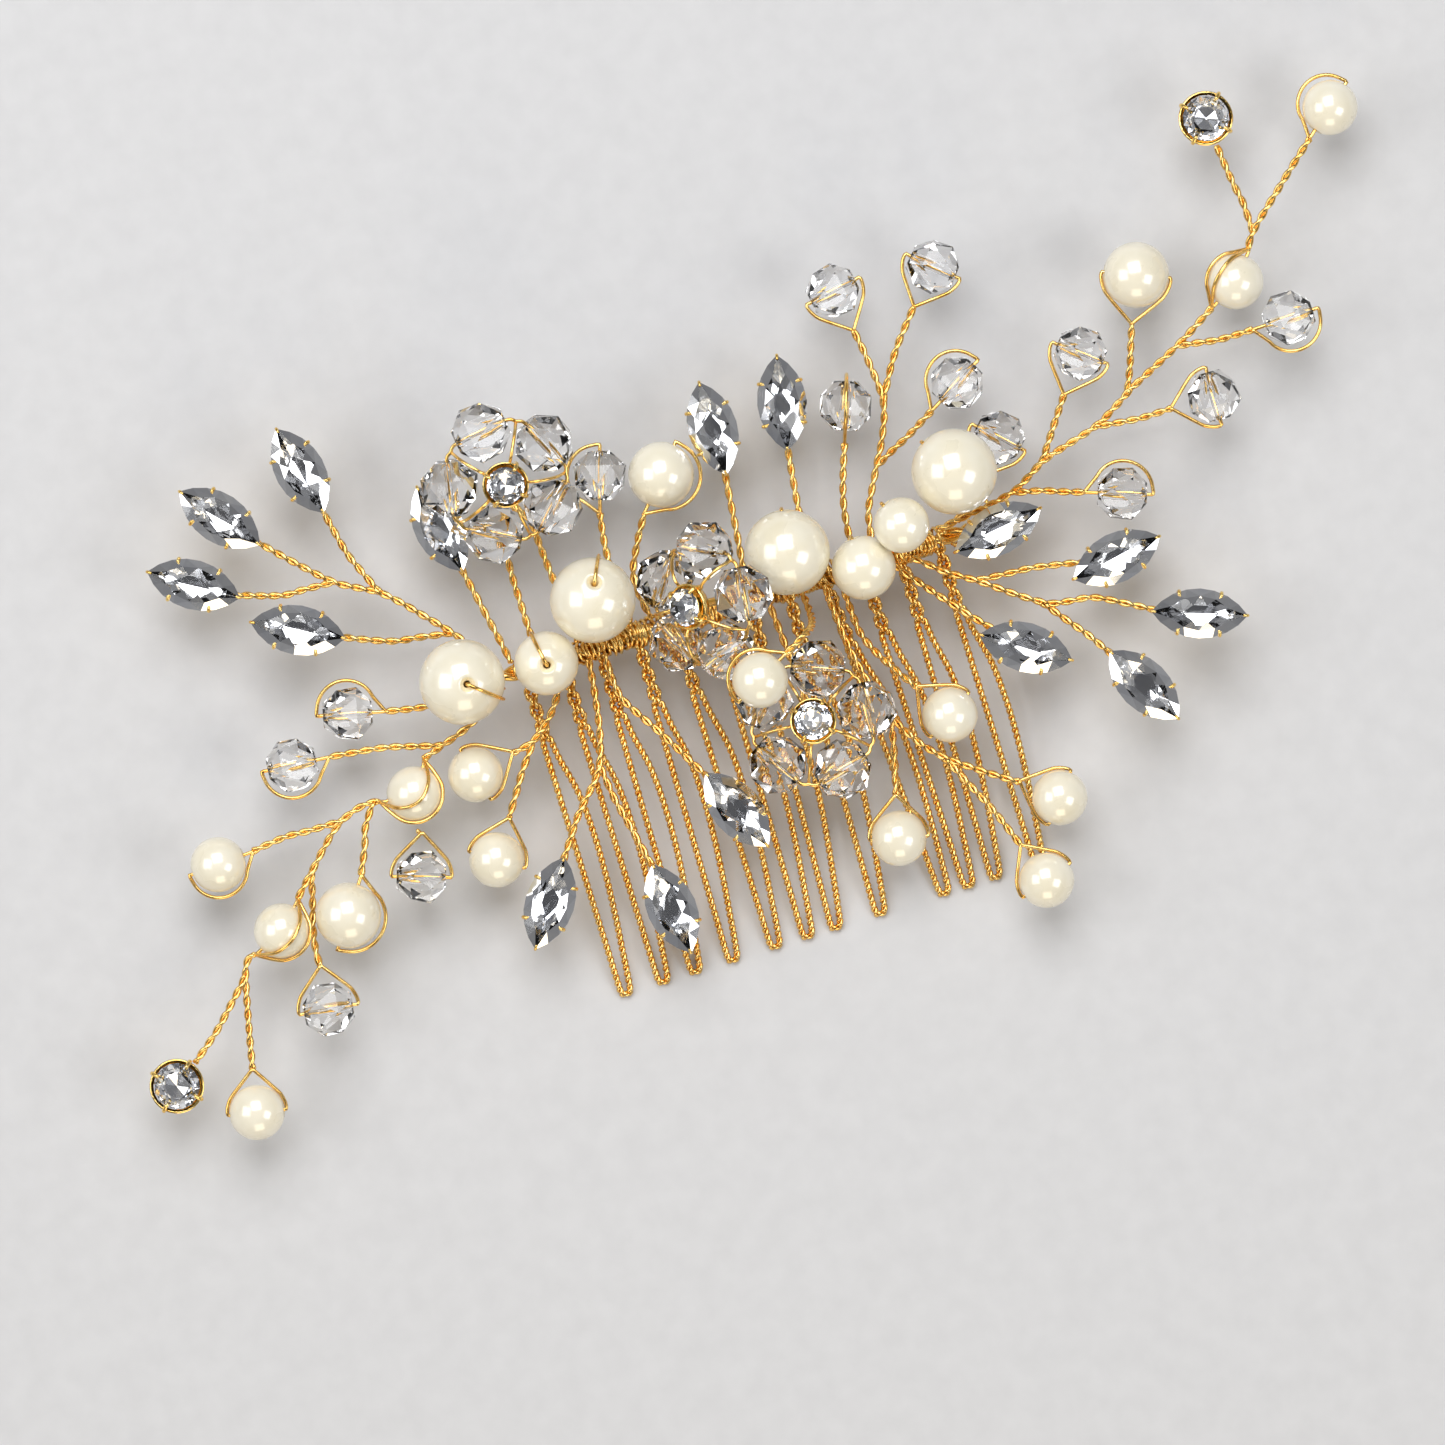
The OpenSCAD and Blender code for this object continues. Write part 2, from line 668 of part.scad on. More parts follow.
module upper_stem() {
    stems([
        concat(line([[-21.2, 1, -0.1], [-21.6, 3.4, -0.7], [-22.2, 6.5, -0.9]]),
            [leaf_end(upper_leaves[2])]),
        line([[-18.6, 1, 0], [-18.6, 10, -0.2], [-17.4, 15.8, -0.2]]),
        line([[-14.6, 1, 0], [-15.3, 10, -0.2], [-15.8, 15.8, -0.2]]),
        concat(line([[-9.4, 1, 0], [-9.6, 6, 0], [-9.5, 9, 0]]), [stem_end(beads[26])]),
        concat(line([[-7.4, 1, 0], [-7.8, 5.5, 0.1]]), [stem_end(beads[5])]),
        concat(line([[1.8, 1, 0], [2.4, 4.5, -0.1]]), [leaf_end(upper_leaves[0])]),
        concat(line([[8.4, 1, 0], [8.6, 5, -0.1]]), [leaf_end(upper_leaves[1])]),
    ]);
}

module crystal_fan_stem() {
    stems([
        concat(line([[14.4, 1, 0], [15, 4.5, 0], [17, 8.3, 0.2], [19.4, 13.9, 0.3]]),
            [stem_end(beads[17])]),
        concat(line([[20.2, 15.3, 0.3], [22.2, 18.4, 0.4]]), [stem_end(beads[18])]),
        concat(line([[12.4, 1, 0], [13, 6, 0.1]]), [stem_end(beads[19])]),
        concat(line([[18.3, 9, 0.2], [20.3, 9.9, 0.3]]), [stem_end(beads[20])]),
    ]);
}

module right_pearl_stem() {
    grip = inline_pearls[2];
    stems([
        concat(line([[20.6, 0.9, 0], [24.5, 1.4, 0.1], [28.7, 2.2, 0.3], [32.2, 4.1, 0.5],
            [37.8, 5.7, 0.6], [41.9, 8, 0.7], [47.5, 10.7, 0.8]]), [stem_end(grip)]),
        concat([rim(grip, spot(57, 18, 0.8))], line([[57.6, 19, 0.8]]), [stem_end(beads[12])]),
        concat(line([[30, 1.8, 0.4], [32.4, 0.9, 0.5]]), [stem_end(beads[25])]),
        concat(line([[32.9, 5.4, 0.5], [34, 7, 0.6]]), [stem_end(beads[22])]),
        concat(line([[39.2, 5.4, 0.6], [42, 5.1, 0.7]]), [stem_end(beads[23])]),
        concat(line([[42.2, 9.4, 0.7], [42.8, 11.2, 0.7]]), [stem_end(beads[11])]),
        concat(line([[48.8, 10.3, 0.8], [51, 9.9, 0.8]]), [stem_end(beads[24])]),
        concat(line([[57.3, 20.4, 0.8], [56.8, 23, 0.7]]), [tip_rim(tip_stones[1])]),
        concat(line([[22.6, 1.1, -0.7], [24, 2.6, -0.8]]), [stem_end(beads[21])]),
    ]);
}

module right_leaf_stem() {
    stems([
        concat(line([[17.6, -0.9, 0], [20, -3, 0.1], [23, -5, 0.2], [28.4, -8.8, 0.2],
            [32.7, -9.6, 0.2]]), [leaf_end(right_leaves[2])]),
        line([[24.3, -5, 0.2], [28, -5.2, 0.2], [33, -6.2, 0.2]]),
        concat(line([[28.9, -10, 0.2], [31, -12.6, 0.2]]), [leaf_end(right_leaves[3])]),
        line([[15.6, -0.9, 0], [17.4, -3.2, 0.1], [20, -6.4, 0.1], [23, -9.8, 0.1]]),
        line([[21.6, -0.9, 0], [22.9, -1.1, 0.7], [25, -1, 0.8]]),
    ]);
}

module lower_right_stem() {
    stems([
        concat(line([[9, -0.9, 0], [9.4, -7, -0.5], [11.3, -14.5, -0.6], [14.8, -19.6, -0.2]]),
            [stem_end(beads[8])]),
        concat(line([[15.4, -21, -0.2], [17.6, -25.5, 0.1]]), [stem_end(beads[9])]),
        concat(line([[10.9, -16, -0.6], [10.2, -19, -0.3]]), [stem_end(beads[10])]),
        concat(line([[10.6, -0.9, 0], [10.8, -6, -0.1], [12.4, -9.6, 0.2]]), [stem_end(beads[7])]),
        concat(line([[6.8, -0.9, 0], [6.9, -3, 2.6], [6.6, -4.2, 6.6], [5.6, -4.9, 9.4]]),
            [stem_end(beads[6])]),
        line([[3.5, -0.9, 0], [3.9, -7, -0.5], [4.1, -12.6, -0.5]]),
    ]);
}

comb_bar();
comb_teeth();
binding_wire();
large_pearls();
small_bar_pearls();
bar_pearl_wires();
bead_wires();
gripped_pearls();
for (i = [1 : 3])
    flower_beads(flowers[i - 1]);
flower_rings();
flower_settings();
flower_stones();
settings_for(left_leaves);  // left_leaf_settings
stones_for(left_leaves);  // left_leaf_stones
settings_for(lower_left_leaves);  // lower_left_leaf_settings
stones_for(lower_left_leaves);  // lower_left_leaf_stones
settings_for(upper_leaves);  // upper_leaf_settings
stones_for(upper_leaves);  // upper_leaf_stones
settings_for(right_leaves);  // right_leaf_settings
stones_for(right_leaves);  // right_leaf_stones
tip_settings();
tip_stone_pair();  // tip_stones
left_leaf_stem();
left_pearl_stem();
lower_left_bead_stem();
lower_left_leaf_stem();
upper_stem();
crystal_fan_stem();
right_pearl_stem();
right_leaf_stem();
lower_right_stem();
for (i = [1 : turning_pearls])
    turning_bead(i - 1);
for (i = [1 : len(beads) - turning_pearls])
    turning_bead(turning_pearls + i - 1);
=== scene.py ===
"""The decorative hair comb's looks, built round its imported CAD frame.

Every wire, bead, stone and setting takes its place from the frame: the centre lines of the
stems and teeth are read back from their CAD tubes, the turning beads' places and holes from
the joints, and the fixed beads and stones from their own solids. Lengths in the builders are
in millimetres, and put() turns them into metres.
"""
import json
import math
import random

import bmesh
import bpy
import numpy as np
from mathutils import Matrix, Vector


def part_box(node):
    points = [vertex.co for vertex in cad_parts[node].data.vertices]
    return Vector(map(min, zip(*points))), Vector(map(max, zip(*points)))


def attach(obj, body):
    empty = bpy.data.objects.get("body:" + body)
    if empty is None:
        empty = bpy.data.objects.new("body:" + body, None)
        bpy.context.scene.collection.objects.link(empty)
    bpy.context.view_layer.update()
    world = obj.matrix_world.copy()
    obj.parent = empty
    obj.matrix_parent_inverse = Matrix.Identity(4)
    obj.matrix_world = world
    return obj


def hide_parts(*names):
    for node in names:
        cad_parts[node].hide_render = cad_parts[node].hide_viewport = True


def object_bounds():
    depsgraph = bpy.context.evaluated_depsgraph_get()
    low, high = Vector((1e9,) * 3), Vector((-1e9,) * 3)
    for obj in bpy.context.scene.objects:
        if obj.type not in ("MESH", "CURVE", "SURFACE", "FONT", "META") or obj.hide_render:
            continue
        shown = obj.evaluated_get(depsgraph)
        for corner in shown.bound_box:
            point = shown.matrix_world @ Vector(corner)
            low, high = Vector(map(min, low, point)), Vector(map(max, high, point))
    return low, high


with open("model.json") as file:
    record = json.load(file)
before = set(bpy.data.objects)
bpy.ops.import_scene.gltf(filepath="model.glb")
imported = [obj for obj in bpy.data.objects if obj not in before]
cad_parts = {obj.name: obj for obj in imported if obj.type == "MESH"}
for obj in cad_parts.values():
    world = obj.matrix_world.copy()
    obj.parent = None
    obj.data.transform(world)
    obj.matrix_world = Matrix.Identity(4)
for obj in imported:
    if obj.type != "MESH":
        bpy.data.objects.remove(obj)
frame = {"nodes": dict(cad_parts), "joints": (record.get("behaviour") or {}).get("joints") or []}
cad_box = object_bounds()

MM = 0.001
ROOT = "comb"

# Wire sizes, mm
STRAND_R = 0.19           # one strand of a twisted stem
STEM_PITCH = 2.7          # length of one full turn of a stem's twist
TOOTH_STRAND_R = 0.18     # one strand of the rope that a tooth is made of
TOOTH_PITCH = 1.25        # length of one full turn of a tooth's rope
NECK_PITCH = 3.4          # length of one full turn of the two ropes in a tooth's neck
BAR_PITCH = 5.0           # length of one full turn of the bar's two strands
LOOP_R = 0.18             # the single wire through and round a bead
LOOP_HUG = LOOP_R * 1.1   # how far such a wire's middle lies off the bead's surface
WRAP_R = 0.16             # the binding wire round the bar
POST_R = 0.4              # the post under a flower's cup

# Stems, mm
TUBE_SIDES = 6            # corners of a CAD tube's flat end
ROOT_Y = 1.5              # stem ends nearer than this to the bar's middle line root on it
FORK_REACH = 2.6          # a branch forks from a stem that passes this near its end
BEAD_REACH = 1.6          # a bead hangs on the stem that ends this near its surface
FORK_BELOW = 1.5          # a loop across a bead forks this far under its surface
KNOT_BELOW = 0.9          # a loop along a bead's hole starts this far under its surface
STEM_INSIDE = 0.1         # how far a stem runs on into its fork, and half that into a knot

# Cut beads and leaf stones
CUT_BEAD_SHARE = 0.98     # of the CAD bead's size, so that its corners clear the loop as it turns
LEAF_LONGER = 0.55        # a leaf stone's length over its CAD solid's, out to the setting, mm
LEAF_WIDER = 0.4          # the same for its width, mm
LEAF_GIRDLE = 0.45        # height of its girdle, as a share of the stone's height
LEAF_CLEAR = 0.9          # only its facets that face up more than this are clear glass
SETTING_FLOOR = 0.36      # the setting's lowest point under the stone, mm

# Cups for round stones, mm
CLAWS = 4
CUP_WALL_H = 1.3          # height of the claw cup's wall and rim
STONE_LIFT = 0.4          # the stone's lowest point over the cup's foot
STONE_GAP = 0.42          # how much smaller than the cup the stone is, in radius
STONE_H = 1.95            # height of the round stone

TURNING = [j for j in frame["joints"] if j.get("continuous")]
STEM_NODES = [
    "left_leaf_stem", "left_pearl_stem", "lower_left_bead_stem", "lower_left_leaf_stem",
    "upper_stem", "crystal_fan_stem", "right_pearl_stem", "right_leaf_stem", "lower_right_stem",
]
LEAF_GROUPS = ["left_leaf", "lower_left_leaf", "upper_leaf", "right_leaf"]


# ---------------------------------------------------------------- reading the frame

def solids(node):
    """The separate solids of a CAD node: a list of (points in mm, triangles)."""
    bm = bmesh.new()
    bm.from_mesh(frame["nodes"][node].data)
    bmesh.ops.remove_doubles(bm, verts=bm.verts, dist=2e-6)
    bmesh.ops.triangulate(bm, faces=bm.faces)
    bm.verts.index_update()
    bm.faces.index_update()
    seen = set()
    found = []
    for start in bm.verts:
        if start.index in seen:
            continue
        seen.add(start.index)
        stack = [start]
        island = []
        while stack:
            v = stack.pop()
            island.append(v)
            for edge in v.link_edges:
                other = edge.other_vert(v)
                if other.index not in seen:
                    seen.add(other.index)
                    stack.append(other)
        if len(island) < 4:
            continue
        number = {v.index: i for i, v in enumerate(island)}
        faces = sorted({f for v in island for f in v.link_faces}, key=lambda f: f.index)
        points = np.array([v.co for v in island]) / MM
        triangles = np.array([[number[v.index] for v in f.verts] for f in faces])
        found.append((points, triangles))
    bm.free()
    return found


def centroid(points, triangles):
    """A closed solid's centre of volume."""
    a, b, c = (points[triangles[:, k]] for k in range(3))
    volume = np.einsum("ij,ij->i", a, np.cross(b, c))
    return ((a + b + c) * volume[:, None]).sum(0) / (4 * volume.sum())


def unit(v):
    """A vector's direction."""
    v = np.asarray(v, float)
    return v / np.linalg.norm(v)


def centreline(points, triangles):
    """The centre line of a swept tube: ring by ring from one flat end to the other."""
    corners = points[triangles]
    normals = np.cross(corners[:, 1] - corners[:, 0], corners[:, 2] - corners[:, 0])
    normals /= np.linalg.norm(normals, axis=1)[:, None] + 1e-12
    by_edge = {}
    for i, t in enumerate(triangles):
        for k in range(3):
            by_edge.setdefault(frozenset((t[k], t[(k + 1) % 3])), []).append(i)
    near = [[] for _ in triangles]
    for pair in by_edge.values():
        if len(pair) == 2 and normals[pair[0]] @ normals[pair[1]] > 0.9995:
            near[pair[0]].append(pair[1])
            near[pair[1]].append(pair[0])
    seen = set()
    cap = None
    for i in range(len(triangles)):
        if i in seen or cap is not None:
            continue
        seen.add(i)
        stack, flat = [i], [i]
        while stack:
            for j in near[stack.pop()]:
                if j not in seen:
                    seen.add(j)
                    stack.append(j)
                    flat.append(j)
        corner_set = sorted(set(triangles[flat].ravel()))
        if len(corner_set) != TUBE_SIDES:
            continue
        ring = points[corner_set]
        reach = np.linalg.norm(ring - ring.mean(0), axis=1)
        if reach.max() - reach.min() < 0.02 * reach.mean():
            cap = corner_set
    joined = [set() for _ in points]
    for t in triangles:
        for k in range(3):
            joined[t[k]].update((t[(k + 1) % 3], t[(k + 2) % 3]))
    done = set(cap)
    layer = list(cap)
    line = []
    while layer:
        line.append(points[layer].mean(0))
        layer = sorted({n for v in layer for n in joined[v]} - done)
        done.update(layer)
    return np.array(line)


# ---------------------------------------------------------------- curves and tubes

def band(a, b, count):
    """The faces between two rings of count points, numbered from a and from b."""
    return [[a + k, a + (k + 1) % count, b + (k + 1) % count, b + k] for k in range(count)]


def smooth_line(points, step):
    """Points about step apart along a Catmull-Rom curve through the given ones."""
    p = np.asarray(points, float)
    if len(p) > 2:
        padded = np.vstack([2 * p[0] - p[1], p, 2 * p[-1] - p[-2]])
        fine = []
        for i in range(len(p) - 1):
            a, b, c, d = padded[i:i + 4]
            for t in np.linspace(0, 1, 8, endpoint=False):
                fine.append(0.5 * (2 * b + (c - a) * t + (2 * a - 5 * b + 4 * c - d) * t ** 2
                                   + (3 * b - a - 3 * c + d) * t ** 3))
        p = np.vstack([fine, p[-1]])
    lengths = np.concatenate([[0], np.cumsum(np.linalg.norm(np.diff(p, axis=0), axis=1))])
    count = max(2, int(round(lengths[-1] / step)) + 1)
    where = np.linspace(0, lengths[-1], count)
    return np.column_stack([np.interp(where, lengths, p[:, k]) for k in range(3)])


def frames_along(path):
    """Two directions square to the path at every point, carried along without twist."""
    tangents = np.gradient(path, axis=0)
    tangents /= np.linalg.norm(tangents, axis=1)[:, None] + 1e-12
    side = np.cross(tangents[0], [0, 0, 1])
    if np.linalg.norm(side) < 1e-3:
        side = np.cross(tangents[0], [0, 1, 0])
    side = unit(side)
    sides = []
    for t in tangents:
        side = side - t * (side @ t)
        side = unit(side)
        sides.append(side)
    sides = np.array(sides)
    return sides, np.cross(tangents, sides)


class Pile:
    """Points and faces of a piece, gathered from several builders."""

    def __init__(self):
        self.points = []
        self.faces = []
        self.kinds = []
        self.count = 0

    def add(self, points, faces, kinds=None):
        """Adds faces over new points. kinds has each face's material number, or all are 0."""
        points = np.asarray(points, float)
        self.points.append(points)
        self.faces.extend([[i + self.count for i in f] for f in faces])
        self.kinds.extend(kinds or [0] * len(faces))
        self.count += len(points)

    def tube(self, path, radius, sides=8):
        """A round wire with domed ends. radius is one number or one for each point."""
        path = np.asarray(path, float)
        radius = np.broadcast_to(radius, len(path))
        u, v = frames_along(path)
        turn = np.arange(sides) * 2 * math.pi / sides
        ring = np.cos(turn)[:, None, None] * u + np.sin(turn)[:, None, None] * v
        points = path + radius[:, None] * ring
        points = points.transpose(1, 0, 2).reshape(-1, 3)
        last = len(path) - 1
        ends = [path[0] - unit(path[1] - path[0]) * radius[0] * 0.5,
                path[-1] + unit(path[-1] - path[-2]) * radius[-1] * 0.5]
        faces = []
        for i in range(last):
            faces += band(i * sides, (i + 1) * sides, sides)
        tip = len(points)
        for k in range(sides):
            faces.append([tip, (k + 1) % sides, k])
            faces.append([tip + 1, last * sides + k, last * sides + (k + 1) % sides])
        self.add(np.vstack([points, ends]), faces)

    def twist(self, path, radius, pitch, phase=0.0, sides=7, per_turn=12):
        """Two strands laid round each other along a path."""
        fine = smooth_line(path, pitch / per_turn)
        u, v = frames_along(fine)
        run = np.concatenate([[0], np.cumsum(np.linalg.norm(np.diff(fine, axis=0), axis=1))])
        for start in (0, 0.5):
            angle = 2 * math.pi * (run / pitch + start) + phase
            strand = fine + radius * (np.cos(angle)[:, None] * u + np.sin(angle)[:, None] * v)
            self.tube(strand, radius, sides)


def put(name, pile, materials, replaces, body=ROOT, smooth=True):
    """Makes a piece from a pile, in metres, ties it to its body and hides the CAD nodes that it
    replaces.
    """
    mesh = bpy.data.meshes.new(name)
    points = np.vstack(pile.points) * MM
    mesh.from_pydata(points.tolist(), [], pile.faces)
    for material in materials:
        mesh.materials.append(material)
    mesh.polygons.foreach_set("material_index", pile.kinds)
    mesh.polygons.foreach_set("use_smooth", [smooth] * len(mesh.polygons))
    mesh.validate()
    mesh.update()
    piece = bpy.data.objects.new(name, mesh)
    bpy.context.scene.collection.objects.link(piece)
    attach(piece, body)
    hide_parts(*replaces)


# ---------------------------------------------------------------- materials

def new_material(name):
    """A material with its node tree, shader and texture coordinates."""
    material = bpy.data.materials.new(name)
    material.use_nodes = True
    tree = material.node_tree
    shader = tree.nodes["Principled BSDF"]
    coords = tree.nodes.new("ShaderNodeTexCoord")
    return material, tree, shader, coords


def noise(tree, coords, scale, detail=3.0):
    """Noise fixed to the piece; scale is in cycles per metre."""
    node = tree.nodes.new("ShaderNodeTexNoise")
    node.inputs["Scale"].default_value = scale
    node.inputs["Detail"].default_value = detail
    tree.links.new(coords.outputs["Object"], node.inputs["Vector"])
    return node.outputs["Fac"]


def ramp(tree, value, low, high):
    """A colour that runs from low to high with a value."""
    node = tree.nodes.new("ShaderNodeValToRGB")
    node.color_ramp.elements[0].position = 0.3
    node.color_ramp.elements[1].position = 0.7
    node.color_ramp.elements[0].color = (*low, 1)
    node.color_ramp.elements[1].color = (*high, 1)
    tree.links.new(value, node.inputs["Fac"])
    return node.outputs["Color"]


def span(tree, value, low, high):
    """A number that runs from low to high with a value."""
    node = tree.nodes.new("ShaderNodeMapRange")
    node.inputs["To Min"].default_value = low
    node.inputs["To Max"].default_value = high
    tree.links.new(value, node.inputs["Value"])
    return node.outputs["Result"]


def bump(tree, shader, value, strength, distance):
    """Small relief that follows a value; distance is in metres."""
    node = tree.nodes.new("ShaderNodeBump")
    node.inputs["Strength"].default_value = strength
    node.inputs["Distance"].default_value = distance
    tree.links.new(value, node.inputs["Height"])
    tree.links.new(node.outputs["Normal"], shader.inputs["Normal"])


def gold(name, light, dark, rough):
    """Plated wire: warm colour in patches, fine drawing marks and a polish that varies."""
    material, tree, shader, coords = new_material(name)
    patches = noise(tree, coords, 900)
    marks = noise(tree, coords, 6000, 2)
    tree.links.new(ramp(tree, patches, dark, light), shader.inputs["Base Color"])
    tree.links.new(span(tree, patches, rough * 0.7, rough * 1.4), shader.inputs["Roughness"])
    shader.inputs["Metallic"].default_value = 1.0
    bump(tree, shader, marks, 0.15, 0.00002)
    return material


def pearl_coat(name):
    """Ivory pearl lacquer: a creamy body, a slow cloud of colour and a clear soft coat."""
    material, tree, shader, coords = new_material(name)
    clouds = noise(tree, coords, 260)
    tree.links.new(ramp(tree, clouds, (0.84, 0.77, 0.58), (0.90, 0.85, 0.70)),
                   shader.inputs["Base Color"])
    tree.links.new(span(tree, clouds, 0.22, 0.34), shader.inputs["Roughness"])
    shader.inputs["Coat Weight"].default_value = 1.0
    shader.inputs["Coat Roughness"].default_value = 0.12
    shader.inputs["Coat IOR"].default_value = 1.8
    shader.inputs["Specular IOR Level"].default_value = 0.8
    shader.inputs["Sheen Weight"].default_value = 0.25
    shader.inputs["Sheen Roughness"].default_value = 0.4
    shader.inputs["Sheen Tint"].default_value = (1.0, 0.86, 0.55, 1)
    bump(tree, shader, noise(tree, coords, 1400, 2), 0.04, 0.00003)
    return material


def cut_glass(name):
    """Clear glass with the faintest surface haze."""
    material, tree, shader, coords = new_material(name)
    haze = noise(tree, coords, 1200)
    tree.links.new(ramp(tree, haze, (0.97, 0.98, 1.0), (1.0, 1.0, 1.0)),
                   shader.inputs["Base Color"])
    tree.links.new(span(tree, haze, 0.0, 0.03), shader.inputs["Roughness"])
    shader.inputs["Transmission Weight"].default_value = 1.0
    shader.inputs["IOR"].default_value = 1.56
    return material


def foil(name):
    """The silver foil behind a stone."""
    material, tree, shader, coords = new_material(name)
    cells = noise(tree, coords, 500)
    tree.links.new(ramp(tree, cells, (0.87, 0.89, 0.94), (1.0, 1.0, 1.0)),
                   shader.inputs["Base Color"])
    tree.links.new(span(tree, cells, 0.03, 0.1), shader.inputs["Roughness"])
    shader.inputs["Metallic"].default_value = 1.0
    return material


def bare_bead(name):
    """The cream plastic core that shows inside a pearl's drilled hole."""
    material, tree, shader, coords = new_material(name)
    grain = noise(tree, coords, 3000)
    tree.links.new(ramp(tree, grain, (0.86, 0.76, 0.48), (0.95, 0.88, 0.64)),
                   shader.inputs["Base Color"])
    tree.links.new(span(tree, grain, 0.45, 0.6), shader.inputs["Roughness"])
    return material


def floor_paper(name):
    """Plain pale paper with a faint grain."""
    material, tree, shader, coords = new_material(name)
    grain = noise(tree, coords, 400)
    tree.links.new(ramp(tree, grain, (0.58, 0.58, 0.59), (0.61, 0.61, 0.62)),
                   shader.inputs["Base Color"])
    shader.inputs["Roughness"].default_value = 0.7
    return material


GOLD = gold("gold_wire", (1.0, 0.72, 0.27), (0.90, 0.50, 0.11), 0.2)
SETTING_GOLD = gold("setting_gold", (1.0, 0.76, 0.30), (0.95, 0.60, 0.16), 0.15)
PEARL = pearl_coat("pearl_coat")
CORE = bare_bead("pearl_core")
GLASS = cut_glass("cut_glass")
FOIL = foil("stone_foil")


# ---------------------------------------------------------------- beads

def on_axis(points, centre, axis, spin=0.0):
    """Turns points drawn round +Z so that Z lies along axis, and moves them to centre."""
    z = unit(axis)
    x = np.cross([0, 0, 1], z)
    x = unit(x) if np.linalg.norm(x) > 1e-3 else np.array([1.0, 0, 0])
    y = np.cross(z, x)
    c, s = math.cos(spin), math.sin(spin)
    x, y = x * c + y * s, y * c - x * s
    return np.asarray(centre) + points[:, :1] * x + points[:, 1:2] * y + points[:, 2:] * z


def pearl_shape(pile, centre, axis, d, hole_r=0.36, mouth_r=0.62, sides=56):
    """A drilled pearl, turned round its hole: the sphere, a soft lip and the bore."""
    r = d / 2
    lip = math.asin(mouth_r / r)
    profile = [(r * math.sin(a), r * math.cos(a)) for a in np.linspace(lip, math.pi - lip, 36)]
    edge = r * math.cos(lip)
    inner = [(mouth_r * 0.94, -edge + 0.06), (mouth_r * 0.74, -edge + 0.2), (hole_r, -edge + 0.3)]
    bore = inner + [(a, -z) for a, z in reversed(inner)]
    rings = profile + bore
    turn = np.arange(sides) * 2 * math.pi / sides
    points = np.array([[a * math.cos(t), a * math.sin(t), z] for a, z in rings for t in turn])
    faces, kinds = [], []
    n = len(rings)
    for i in range(n):
        j = (i + 1) % n
        for k in range(sides):
            m = (k + 1) % sides
            faces.append([i * sides + k, j * sides + k, j * sides + m, i * sides + m])
            kinds.append(0 if i < len(profile) - 1 else 1)
    pile.add(on_axis(points, centre, axis), faces, kinds)


def crystal_shape(pile, centre, axis, d, spin, hole_r=0.34, sides=6):
    """A round cut-glass bead: staggered rings of large facets, flat ends and a bore."""
    r = d / 2
    step = 2 * math.pi / sides
    bands = [(0.44, 0.88, 0), (0.95, 0.36, 0.5), (0.95, -0.36, 0), (0.44, -0.88, 0.5)]
    rings = [[(a * r * math.cos((k + s) * step), a * r * math.sin((k + s) * step), z * r)
              for k in range(sides)] for a, z, s in bands]
    for end, s in ((-0.88, 0.5), (0.88, 0)):
        rings.append([(hole_r * math.cos((k + s) * step), hole_r * math.sin((k + s) * step),
                       end * r) for k in range(sides)])
    points = np.array(rings).reshape(-1, 3)
    faces = []
    for i in range(len(bands) - 1):
        shifted = bands[i + 1][2] > bands[i][2]
        for k in range(sides):
            m = (k + 1) % sides
            a, b = i * sides, (i + 1) * sides
            if shifted:
                faces += [[a + k, b + k, a + m], [a + m, b + k, b + m]]
            else:
                faces += [[a + k, b + k, b + m], [a + k, b + m, a + m]]
    for a, b in ((3, 4), (4, 5), (5, 0)):
        for k in range(sides):
            m = (k + 1) % sides
            faces.append([a * sides + k, b * sides + k, b * sides + m, a * sides + m])
    pile.add(on_axis(points, centre, axis, spin), faces)


# ---------------------------------------------------------------- stems, read from the frame

tubes = {node: [centreline(*s) for s in solids(node)] for node in STEM_NODES}
wire_ends = [(node, i, e) for node, lines in tubes.items()
             for i in range(len(lines)) for e in (0, -1)]


def bead_list():
    """Every bead that turns on its wire: its centre, hole axis, size and body."""
    beads = []
    for joint in TURNING:
        node = joint["child"]
        low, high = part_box(node)
        beads.append({
            "node": node, "centre": np.array(joint["pos_m"]) / MM, "axis": unit(joint["axis"]),
            "d": (high.z - low.z) / MM, "pearl": node.startswith("turning_pearl"),
        })
    return beads


def end_gap(end, centre):
    """How far a stem end (node, line, 0 or -1) is from a point."""
    node, i, e = end
    return np.linalg.norm(tubes[node][i][e] - centre)


def nearest_end(centre, reach):
    """The stem end closest to a point, within reach of it."""
    return min((end for end in wire_ends if end_gap(end, centre) < reach),
               key=lambda end: end_gap(end, centre))


def ends_beside(centre):
    """Where the two stem ends closest to a point are."""
    near = sorted(wire_ends, key=lambda end: (end_gap(end, centre), end))[:2]
    return [tubes[node][i][e] for node, i, e in near]


bead_wires = solids("bead_wires")
bar_pearl_wires = solids("bar_pearl_wires")


def bow_side(centre, axis, reach):
    """Which side of a bead its CAD wire bows to."""
    for points, triangles in bead_wires:
        middle = (points.min(0) + points.max(0)) / 2
        if np.linalg.norm(middle - centre) < reach:
            offset = centroid(points, triangles) - centre
            offset -= axis * (offset @ axis)
            return unit(offset)
    return None


def circle_arc(centre, u, w, radius, start, end, step=12):
    """Points on an arc from start to end degrees, counted from u towards w."""
    count = max(2, int(abs(end - start) / step) + 1)
    angles = np.radians(np.linspace(start, end, count))
    return [centre + radius * (math.cos(a) * u + math.sin(a) * w) for a in angles]


